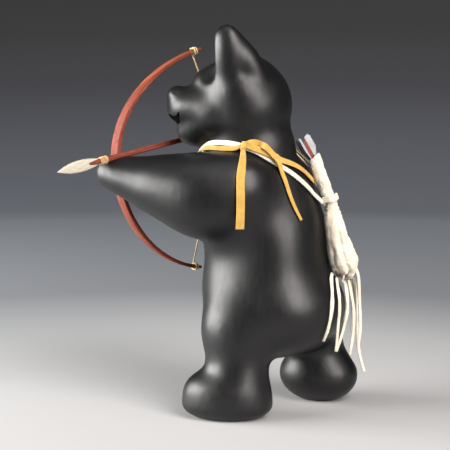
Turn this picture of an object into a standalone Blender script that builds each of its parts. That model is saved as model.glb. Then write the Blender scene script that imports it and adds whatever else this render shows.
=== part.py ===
"""Clay bear archer.

A burnished black clay bear stands on two feet and draws a small wooden bow. Its left paw holds the bow,
its right paw draws the string beside the cheek. A quiver of white buckskin hangs from a strap on its back,
and a yellow lace is tied round its neck.

Metres, +Z up. The bear's chest faces -Y and its left side is +X. The origin is on the floor, under the
middle of the whole piece.
"""
import math

import bmesh
import bpy
from mathutils import Euler, Matrix, Vector
from mathutils.bvhtree import BVHTree

# The clay figure: its pose and proportions are shares of its height.
BEAR_HEIGHT = 0.320              # floor to ear tip
STEP = BEAR_HEIGHT / 320         # the figure is laid out in 320 steps of height
BOX_MIDDLE = (0.1, -40.6)        # middle of the whole piece's box, in steps from the figure's centre line
CLAY_GRID = 0.0030               # spacing of the clay's surface before it is thinned out
CLAY_FACES = 4100

# Clearances.
FIT_GAP = 0.0003                 # between pieces that touch
SLOT_GAP = 0.0005                # round the bow, the arrow and the string where they pass through the clay
LACE_GAP = 0.0009                # under leather that lies on the clay or on other leather

# The bow: a flat stave.
BOW_WIDTH = 0.0124               # at the grip
BOW_TIP_WIDTH = 0.0062
BOW_THICKNESS = 0.0038           # at the grip
BOW_TIP_THICKNESS = 0.0028
BOW_REACH = 0.0806               # from the grip back to the line of the tips
BOW_UPPER_RISE = 0.0905          # grip to upper tip, straight up
BOW_LOWER_RISE = 0.097           # grip to lower tip, straight down
BOW_UPPER_SWEEP = math.radians(69)
BOW_LOWER_SWEEP = math.radians(84)
BOW_STATIONS = 32
BOW_EDGE = 0.0006                # rounding of its edges
STRING_DIAMETER = 0.0013
STRING_TURNS = 2                 # round each tip
STRING_INSET = 0.006             # from a tip to the middle of its winding

# The arrow on the bow, whose lashing starts just past the paw. The spare arrow has the same shaft.
SHAFT_DIAMETER = 0.0046
SHAFT_TAPER = 0.009              # length of the pointed split end, which laps the blade
SHAFT_POINT_RADIUS = 0.0013
NOCK_DEPTH = 0.0035
BLADE_LENGTH = 0.0385            # from its shoulder to its point
BLADE_WIDTH = 0.0100
BLADE_THICKNESS = 0.0016
TANG_LENGTH = 0.008              # behind the blade's shoulder, inside the split
TANG_WIDTH = 0.0030
LASHING_LENGTH = 0.0085
LASHING_TURNS = 5
LASHING_THREAD = 0.0010
LASHING_AHEAD = 7.4              # of its rear end ahead of the paw's last mass, in steps
SPARE_SHAFT_LENGTH = 0.0300      # down to its end inside the quiver
VANE_LENGTH = 0.0205
VANE_OVERHANG = 0.0022           # of the vanes behind the nock
VANE_HEIGHT = 0.0043
VANE_THICKNESS = 0.0006

# Leather.
LEATHER = 0.0012                 # thickness
STRAP_WIDTH = 0.0046
LACE_BAND_WIDTH = 0.0052         # round the neck, where its edges roll in
LACE_WIDTH = 0.0068              # of its hanging tails
TAIL_TIP_WIDTH = 0.0026
FRINGE_WIDTH = 0.0030
LACE_KNOT = (0.0085, 0.0075, 0.0050)   # across, along the neck, off the clay
QUIVER_RADIUS = 0.0050           # of its upper part, at the tie
QUIVER_SIDES = 16
QUIVER_STAND_OFF = 0.0046        # its upper part off the back: the lace and the strap pass behind it
QUIVER_FOLDS = 5
FOLD_DEPTH = 0.10                # of its radius, at its foot
TIE_WIDTH = 0.0060               # of the strap's turns round the quiver


def place(x, y, z):
    """A point of the figure's layout, in steps, as a place in metres."""
    return Vector((x - BOX_MIDDLE[0], y - BOX_MIDDLE[1], z)) * STEP


# Collections and materials

def clear_scene():
    for obj in list(bpy.data.objects):
        bpy.data.objects.remove(obj)


def new_collection(name):
    collection = bpy.data.collections.new(name)
    bpy.context.scene.collection.children.link(collection)
    return collection


clear_scene()
PARTS = new_collection("clay_bear_archer")
CUTTERS = new_collection("cutters")


def material(name, colour, roughness, metallic=0.0):
    mat = bpy.data.materials.new(name)
    mat.use_nodes = True
    shader = mat.node_tree.nodes["Principled BSDF"]
    shader.inputs["Base Color"].default_value = (*colour, 1.0)
    shader.inputs["Roughness"].default_value = roughness
    shader.inputs["Metallic"].default_value = metallic
    return mat


CLAY = material("burnished_clay", (0.018, 0.018, 0.020), 0.38)
WOOD = material("red_wood", (0.42, 0.10, 0.05), 0.5)
BONE = material("bone", (0.85, 0.82, 0.70), 0.45)
THREAD = material("pale_thread", (0.78, 0.66, 0.38), 0.7)
WHITE_HIDE = material("white_buckskin", (0.80, 0.76, 0.66), 0.9)
YELLOW_HIDE = material("yellow_suede", (0.70, 0.45, 0.12), 0.9)
FEATHER = material("grey_feather", (0.68, 0.68, 0.67), 0.8)


def add(name, mesh, mat):
    obj = bpy.data.objects.new(name, mesh)
    mesh.materials.append(mat)
    PARTS.objects.link(obj)
    return obj


def make_cutter(obj):
    for collection in list(obj.users_collection):
        collection.objects.unlink(obj)
    CUTTERS.objects.link(obj)
    obj.hide_render = True
    obj.display_type = "WIRE"
    return obj


def boolean(obj, other, operation):
    modifier = obj.modifiers.new(operation.lower() + "_" + other.name, "BOOLEAN")
    modifier.object = other
    modifier.operation = operation
    modifier.solver = "EXACT"


def evaluated_mesh(obj):
    """The object's mesh as its modifiers leave it, in world space."""
    bpy.context.view_layer.update()
    graph = bpy.context.evaluated_depsgraph_get()
    mesh = bpy.data.meshes.new_from_object(obj.evaluated_get(graph))
    mesh.transform(obj.matrix_world)
    return mesh


def welded(obj):
    """A curve object made into one closed mesh object of the same name."""
    mesh = evaluated_mesh(obj)
    bm = bmesh.new()
    bm.from_mesh(mesh)
    bmesh.ops.remove_doubles(bm, verts=bm.verts, dist=0.00001)
    bmesh.ops.recalc_face_normals(bm, faces=bm.faces)
    bm.to_mesh(mesh)
    bm.free()
    name = obj.name
    bpy.data.objects.remove(obj)
    solid = bpy.data.objects.new(name, mesh)
    PARTS.objects.link(solid)
    return solid


def aim_matrix(start, direction, across):
    """A local frame at start: z along direction, x across it."""
    z = direction.normalized()
    y = z.cross(across).normalized()
    x = y.cross(z)
    frame = Matrix((x, y, z)).transposed().to_4x4()
    frame.translation = start
    return frame


def turned(name, profile, sides, mat, closed=False):
    """A profile of (radius, height), from the top down its outer side, turned about z."""
    mesh = bpy.data.meshes.new(name)
    edges = [(i, i + 1) for i in range(len(profile) - 1)]
    if closed:
        edges.append((len(profile) - 1, 0))
    mesh.from_pydata([(radius, 0.0, height) for radius, height in profile], edges, [])
    obj = add(name, mesh, mat)
    screw = obj.modifiers.new("turn", "SCREW")
    screw.steps = screw.render_steps = sides
    screw.use_merge_vertices = True
    screw.merge_threshold = 0.00001
    return obj


def tube(name, points, diameter, mat):
    """A round cord through its points."""
    curve = bpy.data.curves.new(name, "CURVE")
    curve.dimensions = "3D"
    curve.bevel_depth = diameter / 2
    curve.bevel_resolution = 1
    curve.use_fill_caps = True
    spline = curve.splines.new("POLY")
    spline.points.add(len(points) - 1)
    for knot, point in zip(spline.points, points):
        knot.co = (*point, 1.0)
    curve.materials.append(mat)
    obj = bpy.data.objects.new(name, curve)
    PARTS.objects.link(obj)
    return obj


def flat_outline(name, outline, thickness, mat):
    """A closed flat outline of (x, z) points, thickened along y."""
    curve = bpy.data.curves.new(name, "CURVE")
    curve.dimensions = "2D"
    curve.fill_mode = "BOTH"
    curve.extrude = thickness / 2
    spline = curve.splines.new("POLY")
    spline.points.add(len(outline) - 1)
    for knot, (x, z) in zip(spline.points, outline):
        knot.co = (x, z, 0.0, 1.0)
    spline.use_cyclic_u = True
    obj = bpy.data.objects.new(name, curve)
    obj.matrix_world = Matrix.Rotation(math.radians(90), 4, "X")
    PARTS.objects.link(obj)
    solid = welded(obj)
    solid.data.materials.append(mat)
    return solid


def smooth_route(points, pieces):
    """A smooth curve through the points, with so many pieces between neighbours."""
    ends = [points[0] * 2 - points[1]] + list(points) + [points[-1] * 2 - points[-2]]
    route = []
    for before, start, end, after in zip(ends, ends[1:], ends[2:], ends[3:]):
        for i in range(pieces):
            t = i / pieces
            route.append(0.5 * (2 * start + (end - before) * t
                                + (2 * before - 5 * start + 4 * end - after) * t ** 2
                                + (3 * start - before - 3 * end + after) * t ** 3))
    return route + [points[-1].copy()]


def tangents(route):
    spans = [(b - a) for a, b in zip(route, route[1:])]
    middles = [(a.normalized() + b.normalized()) for a, b in zip(spans, spans[1:])]
    return [v.normalized() for v in [spans[0]] + middles + [spans[-1]]]


def strip(name, route, facings, widths, thicknesses, mat):
    """A flat band along a route, centred on it, whose face looks along facings."""
    mesh = bpy.data.meshes.new(name)
    points = []
    for point, along, facing, width in zip(route, tangents(route), facings, widths):
        across = along.cross(facing).normalized() * (width / 2)
        points += [point - across, point + across]
    faces = [(2 * i, 2 * i + 1, 2 * i + 3, 2 * i + 2) for i in range(len(route) - 1)]
    mesh.from_pydata(points, [], faces)
    obj = add(name, mesh, mat)
    thickest = max(thicknesses)
    group = obj.vertex_groups.new(name="thickness")
    for i, thickness in enumerate(thicknesses):
        group.add([2 * i, 2 * i + 1], thickness / thickest, "REPLACE")
    solid = obj.modifiers.new("thickness", "SOLIDIFY")
    solid.thickness = thickest
    solid.offset = 0.0
    solid.vertex_group = "thickness"
    return obj


# The clay bear: soft masses of clay that run together, in steps.
# Each mass: its place, its half sizes (across, front to back, up), and its turn about z in degrees.
TORSO = [
    ((0, 10, 88), (57, 53, 42), 0),       # rump
    ((0, -9, 103), (53, 52, 60), 0),      # belly
    ((0, 9, 130), (49, 37, 46), 0),       # small of the back
    ((0, -9, 156), (52, 53, 46), 0),      # chest
    ((2, -8, 189), (47, 41, 30), 0),      # shoulders
    ((6, -18, 219), (34, 38, 34), 0),     # neck
]
LEFT_LEG = [
    ((36, -17, 72), (29, 34, 38), 0),
    ((40, -18, 36), (24, 27, 28), 0),
    ((43, -25, 20), (28, 38, 23), 10),
    ((43, -25, 9), (28, 39, 12), 10),
]
RIGHT_LEG = [
    ((-36, 22, 68), (28, 31, 30), 0),
    ((-42, 28, 37), (23, 25, 26), 0),
    ((-43, 28, 22), (28, 36, 25), -6),
]

# The head has its own axes: left, forward and up from the middle of the skull, turned to the bear's left.
HEAD_CENTRE = (8, -22, 249)
HEAD_TURN = 14.0
# Each mass: its place, its half sizes (across, front to back, up), its tilt and its lean in degrees.
HEAD = [
    ((0, -1, 6), (39, 38, 39), 0, 0),      # skull
    ((0, 4, 20), (40, 30, 28), 0, 0),      # temples
    ((0, 20, 22), (25, 24, 18), 0, 0),     # brow
    ((0, 23, 12), (27, 20, 17), 0, 0),     # eye sockets, filled
    ((0, 40, 6), (22, 25, 15), 0, 0),      # muzzle
    ((0, 36, 6), (26, 27, 18), 15, 0),     # muzzle's root
    ((0, 56, 14), (16, 9, 8), 0, 0),       # nose
    ((0, 50, -1), (17, 14, 8), 0, 0),      # lip
    ((0, 36, -16), (18, 21, 14), 0, 0),    # jaw
    ((0, 38, -10), (21, 17, 14), 0, 0),    # jowls
    ((0, 24, 1), (32, 25, 25), 0, 0),      # cheeks
]
EAR = [
    ((28, 9, 40), (13, 15, 32), 5, 12),
    ((27, 1, 44), (12, 14, 29), 38, 12),
]
EAR_HOLLOW = [((26, 29, 46), (11, 12, 22), 8, 12)]
EAR_STAGGER = 5.0                # of the right ear ahead of the left, in steps

FIRMNESS = 6.0
THRESHOLD = 0.25
# The finest grid that a soft mass can have is 5 mm, so the clay is made ten times larger and shrunk.
CLAY_SCALE = 10.0

LEFT_ARM = [          # from the shoulder to the paw: place, radius
    ((40, -16, 187), 31),
    ((46, -44, 181), 36),
    ((50, -72, 188), 27),
    ((50, -92, 192), 21),
    ((50, -110, 196), 17),
    ((49, -124, 199), 14),
]
RIGHT_ARM = [
    ((-36, -10, 190), 30),
    ((-60, -24, 201), 25),
    ((-80, -38, 214), 21),
    ((-60, -48, 224), 18),
    ((-40, -56, 232), 15),
]


def head_point(left, forward, up):
    turn = math.radians(HEAD_TURN)
    return (HEAD_CENTRE[0] + left * math.cos(turn) + forward * math.sin(turn),
            HEAD_CENTRE[1] + left * math.sin(turn) - forward * math.cos(turn),
            HEAD_CENTRE[2] + up)


def clay_masses():
    """Every mass as place, half sizes, turn (degrees about x, y, z) and whether it adds or takes away."""
    masses = [(spot, half, (0, 0, turn), True) for spot, half, turn in TORSO + LEFT_LEG + RIGHT_LEG]
    masses += [(head_point(*spot), half, (tilt, lean, HEAD_TURN), True) for spot, half, tilt, lean in HEAD]
    for side in (1, -1):
        for group, adds in ((EAR, True), (EAR_HOLLOW, False)):
            for (left, forward, up), half, tilt, lean in group:
                ahead = forward + (EAR_STAGGER if side < 0 else 0)
                spot = head_point(side * left, ahead, up)
                masses.append((spot, half, (tilt, side * lean, HEAD_TURN), adds))
    for arm in (LEFT_ARM, RIGHT_ARM):
        for (a, r_a), (b, r_b) in zip(arm, arm[1:]):
            middle = tuple((p + q) / 2 for p, q in zip(a, b))
            masses.append((a, (r_a,) * 3, (0, 0, 0), True))
            masses.append((middle, ((r_a + r_b) / 2,) * 3, (0, 0, 0), True))
        masses.append((arm[-1][0], (arm[-1][1],) * 3, (0, 0, 0), True))
    return masses


def clay_mesh(grid):
    """The masses run together as one skin."""
    ball = bpy.data.metaballs.new("clay")
    ball.resolution = ball.render_resolution = grid * CLAY_SCALE
    ball.threshold = THRESHOLD
    # A lone mass shows its stated half sizes only when it is grown by this much.
    grow = 1 / math.sqrt(1 - (THRESHOLD / FIRMNESS) ** (1 / 3))
    for spot, half, turn, adds in clay_masses():
        mass = ball.elements.new(type="ELLIPSOID")
        mass.co = place(*spot) * CLAY_SCALE
        mass.radius = 1.0
        mass.size_x, mass.size_y, mass.size_z = (h * STEP * CLAY_SCALE * grow for h in half)
        mass.rotation = Euler([math.radians(angle) for angle in turn]).to_quaternion()
        mass.stiffness = FIRMNESS
        mass.use_negative = not adds
    soft = bpy.data.objects.new("clay", ball)
    bpy.context.scene.collection.objects.link(soft)
    mesh = evaluated_mesh(soft)
    bpy.data.objects.remove(soft)
    mesh.transform(Matrix.Scale(1 / CLAY_SCALE, 4))
    return mesh


def floor_block():
    """What the soles are cut flat by."""
    bpy.ops.mesh.primitive_cube_add(size=1.0)
    block = bpy.context.object
    block.name = "floor_block"
    block.data.transform(Matrix.Diagonal((2 * BEAR_HEIGHT, 2 * BEAR_HEIGHT, BEAR_HEIGHT / 4, 1.0)))
    block.data.transform(Matrix.Translation((0, 0, -BEAR_HEIGHT / 8)))
    return make_cutter(block)


# How far the clay is rubbed smooth: fully on the body, less on the head and the paws.
BODY_RUB = 0.0150
HEAD_RUB = 0.0034


def body_share(point):
    """1 on the body, less on the feet, 0 on the head and the paws."""
    below_chin = min(max((205 * STEP - point.z) / (25 * STEP), 0.0), 1.0)
    behind_paws = min(max((point.y - place(0, -95, 0).y) / (30 * STEP), 0.0), 1.0)
    above_feet = min(max((point.z - 40 * STEP) / (30 * STEP), 0.3), 1.0)
    return below_chin * behind_paws * above_feet


def rub(obj, name, reach, grid, group=""):
    """Smooths the surface over a reach, however fine its grid is."""
    modifier = obj.modifiers.new(name, "SMOOTH")
    modifier.factor = 0.5
    modifier.iterations = max(1, round(4 * (reach / grid) ** 2))
    modifier.vertex_group = group


def build_bear():
    bear = add("bear", clay_mesh(CLAY_GRID), CLAY)
    body = bear.vertex_groups.new(name="body")
    for vertex in bear.data.vertices:
        body.add([vertex.index], body_share(vertex.co), "REPLACE")
    rub(bear, "rub_body", BODY_RUB, CLAY_GRID, "body")
    rub(bear, "rub_all", HEAD_RUB, CLAY_GRID)
    thin = bear.modifiers.new("thin_out", "DECIMATE")
    thin.use_collapse_triangulate = True
    thin.ratio = CLAY_FACES / sum(len(face.vertices) - 2 for face in bear.data.polygons)
    boolean(bear, floor_block(), "DIFFERENCE")
    bear.data.shade_smooth()
    return bear


# The bow, its string and the arrow

UP = Vector((0, 0, 1))
NOCK = place(-30, -58, 232)              # where the string is drawn to
GRIP = place(46.5, -121.9, 211)          # middle of the bow, in the left paw
ARROW_RISE = 0.0025                      # the arrow above the grip
AIM = Vector((GRIP.x - NOCK.x, GRIP.y - NOCK.y, 0)).normalized()
BESIDE = Vector((-AIM.y, AIM.x, 0))      # to the bow's left


def bow_point(share, upper):
    """A point on the stave's middle line: share 0 at the grip, 1 at a tip."""
    sweep, rise = (BOW_UPPER_SWEEP, BOW_UPPER_RISE) if upper else (BOW_LOWER_SWEEP, -BOW_LOWER_RISE)
    back = BOW_REACH * (1 - math.cos(share * sweep)) / (1 - math.cos(sweep))
    return GRIP - AIM * back + UP * (rise * math.sin(share * sweep) / math.sin(sweep))


def bow_width(share):
    return BOW_WIDTH + (BOW_TIP_WIDTH - BOW_WIDTH) * share ** 2.6


def bow_thickness(share):
    return BOW_THICKNESS + (BOW_TIP_THICKNESS - BOW_THICKNESS) * share


def bow_stave(name, spare, mat):
    """The stave, made larger all round by spare."""
    half = BOW_STATIONS // 2
    stations = [(i / half, True) for i in range(half, 0, -1)] + [(i / half, False) for i in range(half + 1)]
    route = [bow_point(share, upper) for share, upper in stations]
    facings = [BESIDE.cross(along) for along in tangents(route)]
    widths = [bow_width(share) * (0.45 if share == 1 else 1) + 2 * spare for share, _ in stations]
    thicknesses = [bow_thickness(share) + 2 * spare for share, _ in stations]
    return strip(name, route, facings, widths, thicknesses, mat)


def build_bow():
    bow = bow_stave("bow", 0.0, WOOD)
    bevel = bow.modifiers.new("soft_edges", "BEVEL")
    bevel.width = BOW_EDGE
    bevel.segments = 1
    bevel.limit_method = "ANGLE"
    return bow


def string_winding(upper):
    """Turns of the string round a tip, starting next to the tip and ending on the stave's inner side."""
    limb = sum((bow_point(i / 50, upper) - bow_point((i + 1) / 50, upper)).length for i in range(50))
    share = 1 - STRING_INSET / limb
    middle = bow_point(share, upper)
    along = (bow_point(1, upper) - bow_point(share - 0.02, upper)).normalized()
    to_nock = NOCK - middle
    inward = (to_nock - along * to_nock.dot(along)).normalized()
    stand_off = STRING_DIAMETER / 2 + SLOT_GAP
    half_across = bow_width(share) / 2 + stand_off
    half_through = bow_thickness(share) / 2 + stand_off
    pitch = STRING_DIAMETER + 2 * FIT_GAP
    per_turn = 12
    points = []
    for i in range(STRING_TURNS * per_turn + 1):
        turn = math.radians(90) + 2 * math.pi * i / per_turn
        across = math.copysign(abs(math.cos(turn)) ** 0.5, math.cos(turn)) * half_across
        through = math.copysign(abs(math.sin(turn)) ** 0.5, math.sin(turn)) * half_through
        advance = (STRING_TURNS / 2 - i / per_turn) * pitch
        points.append(middle + BESIDE * across + inward * through + along * advance)
    # It turns towards the nock in two steps.
    onward = (points[-1] - points[-2]).normalized() + (NOCK - points[-1]).normalized()
    points.append(points[-1] + onward.normalized() * STRING_DIAMETER)
    return points


def string_points():
    upper, lower = string_winding(True), string_winding(False)
    bend = STRING_DIAMETER
    above = NOCK + (upper[-1] - NOCK).normalized() * bend
    below = NOCK + (lower[-1] - NOCK).normalized() * bend
    return upper + [above, NOCK + ((above + below) / 2 - NOCK) * 0.5, below] + lower[::-1]


def build_string():
    return welded(tube("bowstring", string_points(), STRING_DIAMETER, THREAD))


def arrow_frame():
    """z along the arrow from the string to its point, y across its flat blade."""
    beside = BESIDE * (BOW_WIDTH / 2 + SHAFT_DIAMETER / 2 + FIT_GAP)
    rest = GRIP + beside + UP * ARROW_RISE
    direction = rest - NOCK
    return aim_matrix(NOCK, direction, UP)


def shaft_length(frame):
    """From the nock's rear to the point of the split end."""
    paw = frame.inverted() @ place(*LEFT_ARM[-1][0])
    return NOCK_DEPTH + paw.z + LASHING_AHEAD * STEP + LASHING_LENGTH + FIT_GAP + SHAFT_TAPER


def shaft_mesh_object(name, length, taper):
    radius = SHAFT_DIAMETER / 2
    point = SHAFT_POINT_RADIUS if taper else radius
    profile = [(0, length), (point, length), (radius, length - taper), (radius, 0), (0, 0)]
    if not taper:
        profile.pop(2)
    return turned(name, profile, 12, WOOD)


def block(name, size, frame):
    """A box cutter of a given size (x, y, z), its base centred on the frame."""
    bpy.ops.mesh.primitive_cube_add(size=1.0)
    box = bpy.context.object
    box.name = name
    box.data.transform(Matrix.Translation((0, 0, size[2] / 2)) @ Matrix.Diagonal((*size, 1.0)))
    box.matrix_world = frame
    return make_cutter(box)


def build_arrow(frame):
    shaft = shaft_mesh_object("arrow_shaft", shaft_length(frame), SHAFT_TAPER)
    shaft.matrix_world = frame @ Matrix.Translation((0, 0, -NOCK_DEPTH))
    tip = shaft_length(frame) - NOCK_DEPTH
    shoulder = tip - SHAFT_TAPER
    wide = 2 * SHAFT_DIAMETER
    split = BLADE_THICKNESS + 2 * FIT_GAP
    split_start = shoulder - TANG_LENGTH - FIT_GAP
    boolean(shaft, block("split", (wide, split, tip - split_start + wide),
                         frame @ Matrix.Translation((0, 0, split_start))), "DIFFERENCE")
    # The string slants forward, so its slot goes past its middle.
    nock = NOCK_DEPTH + STRING_DIAMETER / 2 + SHAFT_DIAMETER / 4 + SLOT_GAP
    boolean(shaft, block("nock_slot", (wide, STRING_DIAMETER + 2 * SLOT_GAP, nock + wide),
                         frame @ Matrix.Translation((0, 0, -NOCK_DEPTH - wide))), "DIFFERENCE")

    # The blade's half outline: distance from its shoulder and half width, as shares of its own.
    leaf = [(0.0, 0.50), (0.06, 0.66), (0.15, 0.80), (0.28, 0.95), (0.41, 1.0),
            (0.55, 0.93), (0.70, 0.72), (0.85, 0.42), (0.96, 0.16), (1.0, 0.04)]
    side = [(TANG_WIDTH / 2, shoulder - TANG_LENGTH), (TANG_WIDTH / 2, shoulder - FIT_GAP)]
    side += [(half * BLADE_WIDTH / 2, shoulder + along * BLADE_LENGTH) for along, half in leaf]
    outline = side + [(-x, z) for x, z in reversed(side)]
    blade = flat_outline("arrow_blade", outline, BLADE_THICKNESS, BONE)
    blade.data.transform(frame)

    inner = SHAFT_DIAMETER / 2 + FIT_GAP
    pitch = LASHING_LENGTH / LASHING_TURNS
    ridges = []
    for turn in range(LASHING_TURNS):
        top = shoulder - FIT_GAP - turn * pitch
        ridges += [(inner + LASHING_THREAD * 0.6, top), (inner + LASHING_THREAD, top - pitch * 0.35),
                   (inner + LASHING_THREAD, top - pitch * 0.65)]
    bottom = shoulder - FIT_GAP - LASHING_LENGTH
    ridges += [(inner + LASHING_THREAD * 0.6, bottom), (inner, bottom), (inner, shoulder - FIT_GAP)]
    lashing = turned("arrow_lashing", ridges, 12, THREAD, closed=True)
    lashing.matrix_world = frame


def cut_paws(bear, frame):
    """The hole for the bow, the rest for the arrow and the slots for the arrow's nock and the string."""
    hole = make_cutter(bow_stave("bow_hole", SLOT_GAP, WOOD))
    boolean(bear, hole, "DIFFERENCE")
    rest = shaft_mesh_object("arrow_rest", shaft_length(frame), 0)
    rest.data.transform(Matrix.Diagonal((1 + 2 * SLOT_GAP / SHAFT_DIAMETER, 1, 1, 1)))
    rest.matrix_world = frame @ Matrix.Translation((0, 0, -NOCK_DEPTH - SLOT_GAP))
    boolean(bear, make_cutter(rest), "DIFFERENCE")
    reach = 0.030
    gap = STRING_DIAMETER + 2 * SLOT_GAP
    upper, _, lower = string_points()[len(string_winding(True)):][:3]
    towards_upper = (upper - NOCK).normalized()
    towards_lower = (lower - NOCK).normalized()
    above, below = towards_upper * reach, towards_lower * reach
    fan = [-AIM * gap, above - AIM * gap, above + AIM * reach, below + AIM * reach, below - AIM * gap]
    outline = [(arm.dot(AIM), arm.dot(UP)) for arm in fan]
    slot = flat_outline("string_slot", outline[::-1], gap, THREAD)
    slot.data.transform(Matrix.Translation(NOCK) @ Matrix.Rotation(math.atan2(AIM.y, AIM.x), 4, "Z"))
    boolean(bear, make_cutter(slot), "DIFFERENCE")


# Leather

class Skin:
    """The clay's surface, for what lies on it."""

    def __init__(self, bear):
        mesh = evaluated_mesh(bear)
        mesh.calc_loop_triangles()
        triangles = [tuple(face.vertices) for face in mesh.loop_triangles]
        self.tree = BVHTree.FromPolygons([vertex.co for vertex in mesh.vertices], triangles)

    def lay(self, point, lift):
        """The place on the clay nearest to a point, lifted off it, with the clay's direction there."""
        spot, facing, _, _ = self.tree.find_nearest(point)
        return spot + facing * lift, facing

    def clear(self, point, lift):
        """The point itself, or pushed out of the clay until it is lifted off it."""
        spot, facing, _, _ = self.tree.find_nearest(point)
        height = (point - spot).dot(facing)
        return point + facing * max(0.0, lift - height)


def evened(vectors, rounds):
    """Each vector leant towards its neighbours."""
    for _ in range(rounds):
        inner = [(a + 2 * b + c).normalized() for a, b, c in zip(vectors, vectors[1:], vectors[2:])]
        vectors = [vectors[0]] + inner + [vectors[-1]]
    return vectors


def keep_off(skin, route, facings, width):
    """Lifts a band's route along its facings until its middle and both its edges are off the clay."""
    lift = LACE_GAP + LEATHER / 2
    for _ in range(6):
        lifted = []
        for point, along, facing in zip(route, tangents(route), facings):
            edge = along.cross(facing).normalized() * (width / 2)
            short = 0.0
            for place_across in (point - edge, point, point + edge):
                spot, away, _, _ = skin.tree.find_nearest(place_across)
                short = max(short, (lift - (place_across - spot).dot(away)) / max(away.dot(facing), 0.5))
            lifted.append(point + facing * short)
        inner = [(a + 4 * b + c) / 6 for a, b, c in zip(lifted, lifted[1:], lifted[2:])]
        route = [lifted[0]] + inner + [lifted[-1]]
    return lifted


def lie_on(skin, points, width, pieces):
    """A band's route through the points, laid on the clay, and the directions that its face looks along."""
    route = smooth_route([place(*p) for p in points], pieces)
    laid = [skin.lay(point, LACE_GAP + LEATHER / 2) for point in route]
    facings = evened([facing for _, facing in laid], 4)
    return keep_off(skin, [spot for spot, _ in laid], facings, width), facings


def hang(skin, points, width, pieces):
    """A band's route through the points that keeps off the clay but may hang free of it, and its facings."""
    route = smooth_route([place(*p) for p in points], pieces)
    facings = evened([skin.lay(point, 0.0)[1] for point in route], 8)
    return keep_off(skin, route, facings, width), facings


def nearest_on(route, point):
    """The place on a route that is nearest to a point."""
    best = route[0]
    for start, end in zip(route, route[1:]):
        share = min(max((point - start).dot(end - start) / (end - start).length_squared, 0.0), 1.0)
        spot = start.lerp(end, share)
        if (spot - point).length < (best - point).length:
            best = spot
    return best


def climb_over(route, facings, under, near):
    """Lifts a band's route by a layer over another band where it passes closer beside it than near."""
    ease = LACE_GAP
    lifted = []
    for point, facing in zip(route, facings):
        offset = point - nearest_on(under, point)
        height = offset.dot(facing)
        aside = (offset - facing * height).length
        share = min(max((near + ease - aside) / ease, 0.0), 1.0)
        lift = max(LAYER + FIT_GAP - height, 0.0)
        lifted.append(point + facing * lift * share * share * (3 - 2 * share))
    return lifted


STRAP_POINTS = [(4, 33, 181), (12, 27, 188), (22, 21, 196), (30, 11, 205), (36, 2, 214),
                (39, -7, 220), (41, -15, 224), (39, -26, 225), (35, -38, 226), (29, -47, 224), (20, -54, 220),
                (5, -58, 217), (-12, -54, 216), (-25, -40, 218), (-30, -22, 220), (-27, -4, 217),
                (-22, 12, 206), (-19, 24, 194), (-16, 30, 184)]
# The lace runs over the strap on the far side of the neck: from one of the strap's points to another.
LACE_FRONT_POINTS = [(41, -12, 221), (43, -18, 218), (45, -28, 219), (43, -39, 219), (37, -50, 217),
                     (28, -58, 211), (15, -60, 206), (2, -59, 207), (-6, -57, 211)]
SHARED_POINTS = (12, 16)
LACE_BACK_POINTS = [(-18, 19, 200), (-14, 25, 195), (-9, 31, 190), (0, 29, 192), (9, 25, 199), (17, 20, 205),
                    (26, 13, 210), (33, 6, 215), (38, -2, 220), (41, -10, 222)]
TAIL_A_POINTS = [(42, -12, 220), (50, -9, 217), (60, -6, 211), (68, -5, 200), (70, -4, 188), (70, -4, 174),
                 (69, -5, 159)]
TAIL_B_POINTS = [(41, -11, 222), (40, -7, 225), (37, -1, 226), (35, 5, 221), (33, 10, 213), (32, 14, 204),
                 (32, 20, 188), (30, 25, 174), (29, 32, 163)]
KNOT_POINT = (42, -11, 221)
LAYER = LEATHER + LACE_GAP


def lump(name, centre, facing, size):
    """A rounded knot, flattened along facing."""
    bpy.ops.mesh.primitive_uv_sphere_add(segments=12, ring_count=8, radius=0.5)
    knot = bpy.context.object
    knot.name = name
    knot.data.transform(Matrix.Diagonal((*size, 1.0)))
    knot.matrix_world = aim_matrix(centre, facing, UP)
    return knot


def in_front(point):
    return point.y < place(0, -24, 0).y and point.x > place(5, 0, 0).x


def neck_routes(skin):
    """The strap and the lace round the neck. The lace lies below the strap in front and over it elsewhere."""
    pieces = 2
    strap, strap_facings = lie_on(skin, STRAP_POINTS, STRAP_WIDTH, pieces)
    front, front_facings = lie_on(skin, LACE_FRONT_POINTS, LACE_BAND_WIDTH, pieces)
    back, back_facings = lie_on(skin, LACE_BACK_POINTS, LACE_BAND_WIDTH, pieces)
    near = (STRAP_WIDTH + LACE_BAND_WIDTH) / 2
    under_lace = [point for point in strap if not in_front(point)]
    front = climb_over(front, front_facings, under_lace, near)
    back = climb_over(back, back_facings, under_lace, near)
    shared = slice(pieces * SHARED_POINTS[0], pieces * SHARED_POINTS[1] + 1)
    over = [point + facing * LAYER for point, facing in zip(strap[shared], strap_facings[shared])]
    return strap, strap_facings, front + over + back, front_facings + strap_facings[shared] + back_facings


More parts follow.
